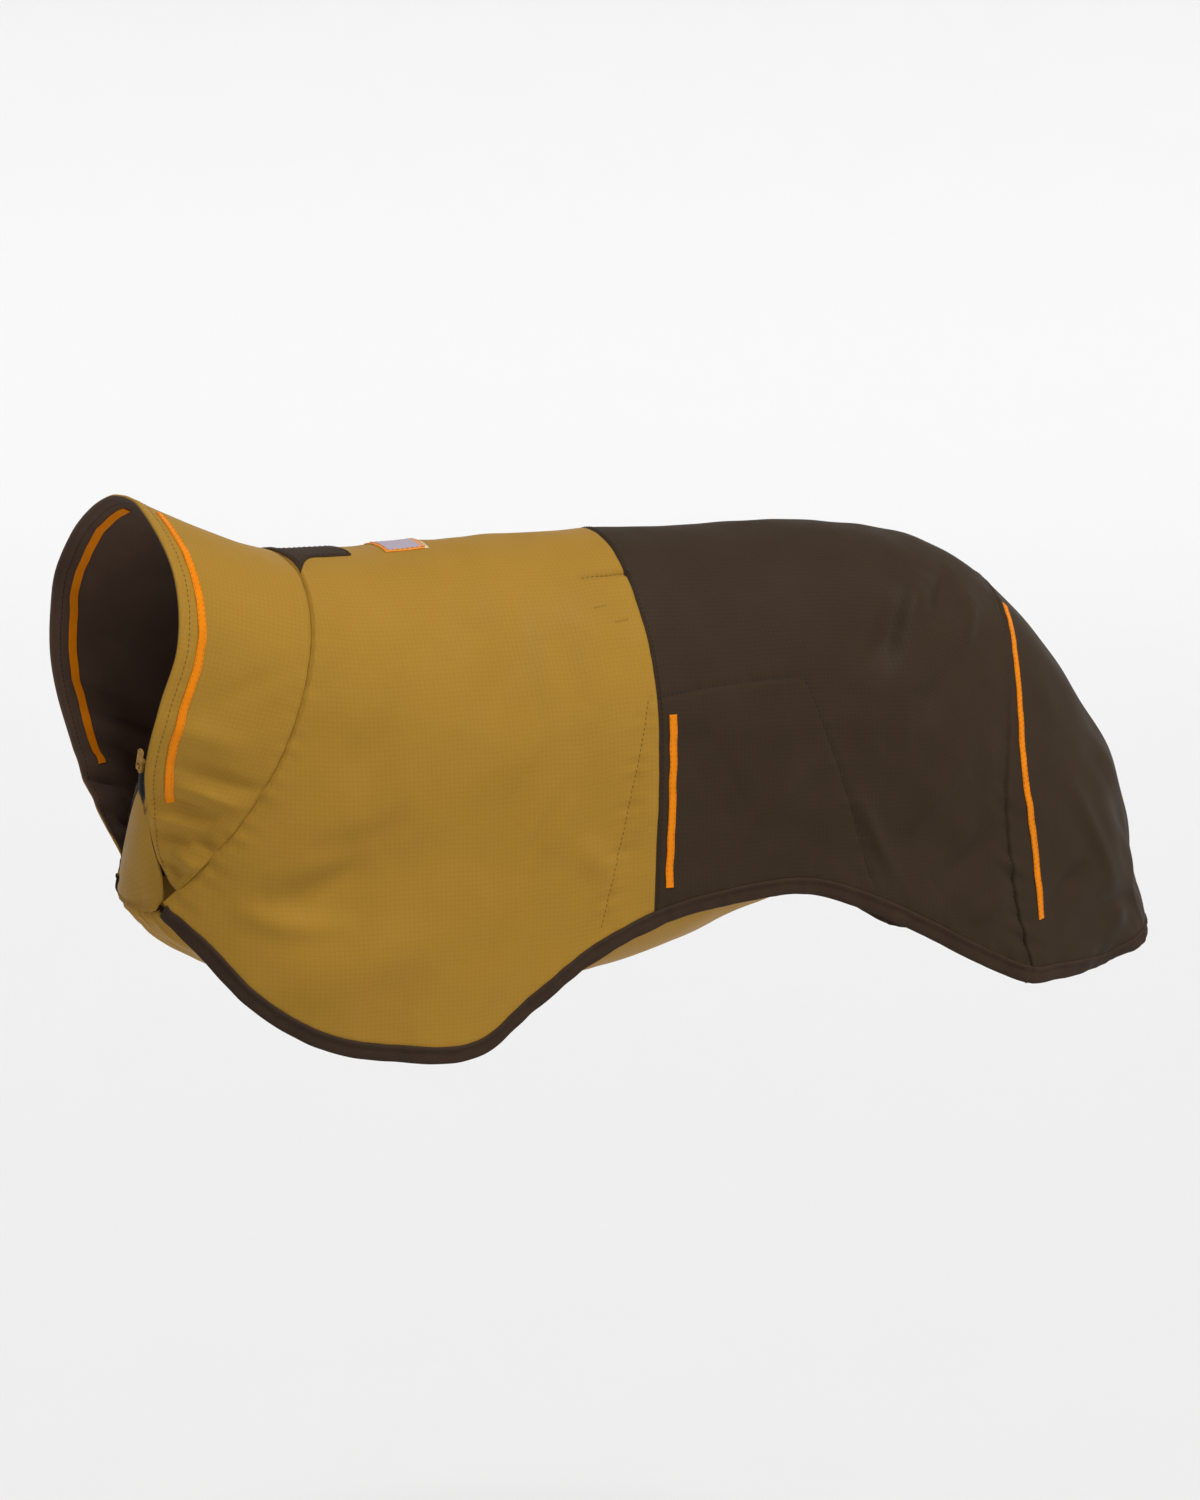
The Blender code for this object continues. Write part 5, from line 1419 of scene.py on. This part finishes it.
def guard_width(t):
    """Share of the flap's full width: it narrows to its upper end."""
    return GUARD_TIP + (1 - GUARD_TIP) * math.sqrt(max(math.cos(math.pi / 2 * max(2 * t - 1, 0)), 0))


def guard(t, share):
    """The flap inside the zip. t: 0 throat to 1 upper end. share: 0 at its root to 1."""
    s = -(GUARD_FROM + (GUARD_TO - GUARD_FROM) * t)
    seat = Place(collar, GUARD_AT, s, -1)
    near = (COLLAR_CLOTH + LINING + STRIP_THICK + 2 * (GAP + FACET_ROOM)) * MM
    reach = near + np.atleast_1d(share)[:, None] * GUARD_WIDTH * guard_width(t) * MM
    return seat.point - seat.normal * reach


class ZipPlace:
    """Frame on the zip line: up the zip, across towards the gusset, and out of the throat."""

    def __init__(self, share):
        self.point = from_rim(-share, ZIP_FROM_RIM)
        above, below = (from_rim(-share + step, ZIP_FROM_RIM) for step in (RIM_STEP, -RIM_STEP))
        self.up = unit(above - below)
        toward = from_rim(-share, ZIP_FROM_RIM + 1) - self.point
        self.across = unit(toward - self.up * (toward @ self.up))
        self.out = np.cross(self.across, self.up)
        self.out *= -np.sign(self.out[0])

    def at(self, up, across, out):
        return self.point + (self.up * up + self.across * across + self.out * out) * MM


ZIP_POINTS = 60
ZIP_SINK = 1.5               # the zip lies this far behind the cloth edges that cover it
# Section of the zip's tape: distance from the rim's side, and height.
ZIP_PROFILE = [
    (-ZIP_FROM_RIM + 1.2, -0.1), (-ZIP_FROM_RIM + 1.2, 0.25), (-1.9, 0.30), (1.6, 0.30),
    (2.6, 0.1), (2.6, -0.3), (0, -0.4), (-2.0, -0.4),
]
TOOTH_PITCH, TOOTH_LENGTH, TOOTH_RADIUS, TOOTH_BACK = 1.25, 1.9, 0.5, -0.35
TOOTH_FLAT, TOOTH_SIDES = 0.8, 6
TOOTH_RINGS = ((0, 0.7, 0.45), (0.25, 1.0, 0.5), (0.75, 0.9, 0.42), (1, 0.5, 0.2))   # share, size, lift


def make_zip():
    """Zip tape with its interlocking coil, and the flap inside it."""
    shares = np.linspace(COLLAR_END - END_MARGIN, SLIDER_AT, ZIP_POINTS)
    places = [ZipPlace(share) for share in shares]
    line, across, out = (np.array([getattr(place, part) for place in places])
                         for part in ("point", "across", "out"))
    profile = np.array(ZIP_PROFILE) - (0, ZIP_SINK)
    band("zip_tape", "zip_chain", line, across, out, profile, "zip_plastic")
    run = lengths(line) / MM
    teeth = []
    for number, where in enumerate(np.arange(1.0, run[-1] - 0.5, TOOTH_PITCH / 2)):
        place = ZipPlace(float(np.interp(where, run, shares)))
        side = -1 if number % 2 else 1
        teeth.append([[
            place.at(TOOTH_RADIUS * size * math.cos(turn), side * (TOOTH_BACK + TOOTH_LENGTH * share),
                     lift - ZIP_SINK + TOOTH_RADIUS * size * TOOTH_FLAT * math.sin(turn))
            for turn in np.arange(TOOTH_SIDES) * 2 * math.pi / TOOTH_SIDES
        ] for share, size, lift in TOOTH_RINGS])
    stitches("zip_teeth", [np.array(teeth)], "zip_plastic", MATERIALS["zip_plastic"])
    flap = Sheet(guard, crowded(0, 1, GUARD_LENGTH), crowded(0, 1, GUARD_WIDTH, GUARD_SPACING))
    cloth_piece("zip_flap", "zip_guard", flap.points, flap.normals, LINING, grid_uv(flap.points, 0),
                "lining")


def finish_slider():
    """The slider and its pull tab keep their solids and get the coated finish."""
    for name in ("zip_slider", "zip_pull_tab"):
        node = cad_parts[name]
        node.data.materials.clear()
        node.data.materials.append(MATERIALS["zip_slider"])


def both_sides(corners, count):
    """A sewn line of (t, s) corners on the right side and its twin on the left, finely divided."""
    run = lengths(corners * TORSO_SIZE)
    path = read_along(np.linspace(0, run[-1], count), run, corners)
    return [path, path * (1, -1)]


TACK_HALF, TACK_ROWS = 0.006, 9      # half width of a bar tack, as t, and its stitches
TACK_LEAN, TACK_BELOW, TACK_ABOVE = 0.001, 0.0075, 0.0115        # of each stitch, as t and s
TACK_POINTS, DART_POINTS, WING_POINTS = 12, 60, 300


def bar_tack(shell, t, s):
    """A short bar of close stitches across the cloth."""
    rows = []
    for k in np.linspace(-1, 1, TACK_ROWS):
        at = t + k * TACK_HALF
        ends = [(at, s - TACK_BELOW), (at + TACK_LEAN, s + TACK_ABOVE)]
        rows.append(stitch_rings(shell, ends, count=TACK_POINTS)[:1])
    return rows


SEAM_REACH = 0.985           # the seams' stitches end this far down each side, as s
SEAM_STITCHES = [(T_COLOUR, 2.4), (T_REAR, -2.6)]    # each seam, and its stitches' distance behind
THREAD_CHANGE = 0.002        # the wing's thread changes this far ahead of the colour seam, as t


def make_stitching(shell, hem, collar_rows, gusset_rows, patch_rows, tape_rows):
    """All the rows of stitches, one mesh for each colour of thread."""
    ochre, brown = collar_rows[:1], collar_rows[1:] + gusset_rows + [patch_rows[0]]
    for path in both_sides(WING_LINE, WING_POINTS):
        split = np.argmax(path[:, 0] >= T_COLOUR - THREAD_CHANGE)
        ochre.append(stitch_rings(shell, path[:split]))
        brown.append(stitch_rings(shell, path[split:]))
    ochre += [stitch_rings(shell, path, count=DART_POINTS)
              for path in both_sides(DART_LINE, DART_POINTS)]
    tacks = [row for t, s in BAR_TACKS for side in (-1, 1) for row in bar_tack(shell, t, side * s)]
    brown += [stitch_row(shell, seam + away / TORSO_SIZE[0], SEAM_REACH)
              for seam, away in SEAM_STITCHES]
    brown.append(line_stitches(*hem))
    stitches("bar_tacks", tacks, "ochre_shell", TACK_THREAD)
    stitches("ochre_stitches", ochre, "ochre_shell", OCHRE_THREAD)
    stitches("brown_stitches", brown, "brown_shell", BROWN_THREAD)
    stitches("orange_stitches", tape_rows + [patch_rows[1]], "reflective", ORANGE_THREAD)


# ---- studio ---------------------------------------------------------------------------------
AZIMUTH, ELEVATION, DISTANCE = -27.0, 11.5, 2.4      # camera, degrees and metres
TARGET = Vector((0.0795, -0.0687, -0.1235))
LENS, SENSOR = 96.0, 36.0                            # millimetres, along the long side
CLIP = (0.1, 60.0)
FLOOR_Z = -0.9
FLOOR_FRONT, FLOOR_BACK, FLOOR_HALF = -9.0, 5.0, 12.0      # from the coat, metres
BEND, BEND_STEPS, WALL_TOP = 3.0, 12, 9.0            # radius of the curve up, and the backdrop's top


def make_camera():
    """The camera that the photo's view was fitted with."""
    turn, rise = math.radians(AZIMUTH), math.radians(ELEVATION)
    back = Vector((math.sin(turn) * math.cos(rise), -math.cos(turn) * math.cos(rise), math.sin(rise)))
    data = bpy.data.cameras.new("camera")
    data.lens, data.sensor_width = LENS, SENSOR
    data.clip_start, data.clip_end = CLIP
    camera = bpy.data.objects.new("camera", data)
    camera.location = TARGET + back * DISTANCE
    camera.rotation_mode = "QUATERNION"
    camera.rotation_quaternion = (-back).to_track_quat("-Z", "Y")
    bpy.context.scene.collection.objects.link(camera)
    bpy.context.scene.camera = camera


def make_floor():
    """A wide pale floor that curves up into a backdrop far behind."""
    turns = np.linspace(0, math.pi / 2, BEND_STEPS)
    run = [(FLOOR_FRONT, 0.0)]
    run += [(FLOOR_BACK + BEND * math.sin(turn), BEND - BEND * math.cos(turn)) for turn in turns]
    run.append((FLOOR_BACK + BEND, WALL_TOP))
    turn = math.radians(AZIMUTH)
    ahead, side = np.array([-math.sin(turn), math.cos(turn)]), np.array([math.cos(turn), math.sin(turn)])
    points, faces = [], []
    for k, (away, height) in enumerate(run):
        for reach in (-FLOOR_HALF, FLOOR_HALF):
            place = ahead * away + side * reach
            points.append((place[0], place[1], FLOOR_Z + height))
        if k:
            faces.append((2 * k - 2, 2 * k - 1, 2 * k + 1, 2 * k))
    mesh = bpy.data.meshes.new("floor")
    mesh.from_pydata(points, [], faces)
    mesh.shade_smooth()
    floor = bpy.data.objects.new("floor", mesh)
    bpy.context.scene.collection.objects.link(floor)
    mesh.materials.append(floor_material())


WORLD_STRENGTH = 0.36
# Wide soft lights: where each stands from the coat, the angle it fills in degrees, its strength.
Lamp = namedtuple("Lamp", "name place angle strength")
LAMPS = [
    Lamp("top_light", (0.2, -1.1, 2.3), 26, 2.5),
    Lamp("side_light", (2.2, -2.6, 0.7), 30, 0.55),
]


def make_lights():
    """Two soft suns and an even white world."""
    for lamp in LAMPS:
        data = bpy.data.lights.new(lamp.name, "SUN")
        data.angle, data.energy = math.radians(lamp.angle), lamp.strength
        light = bpy.data.objects.new(lamp.name, data)
        light.location = TARGET + Vector(lamp.place)
        light.rotation_mode = "QUATERNION"
        light.rotation_quaternion = (-Vector(lamp.place)).to_track_quat("-Z", "Y")
        bpy.context.scene.collection.objects.link(light)
    world = bpy.data.worlds.new("studio")
    world.use_nodes = True
    background = world.node_tree.nodes["Background"]
    background.inputs["Color"].default_value = (1, 1, 1, 1)
    background.inputs["Strength"].default_value = WORLD_STRENGTH
    bpy.context.scene.world = world
    bpy.context.scene.view_settings.view_transform = "Standard"


def main():
    shell = make_shell()
    hem = make_binding(shell)
    collar_sheet, collar_rows = make_collar()
    tape_rows = make_strips(shell, collar_sheet)
    patch_rows = make_patches(shell)
    gusset_rows = make_front()
    make_zip()
    finish_slider()
    make_stitching(shell, hem, collar_rows, gusset_rows, patch_rows, tape_rows)
    make_floor()
    make_lights()
    make_camera()


main()
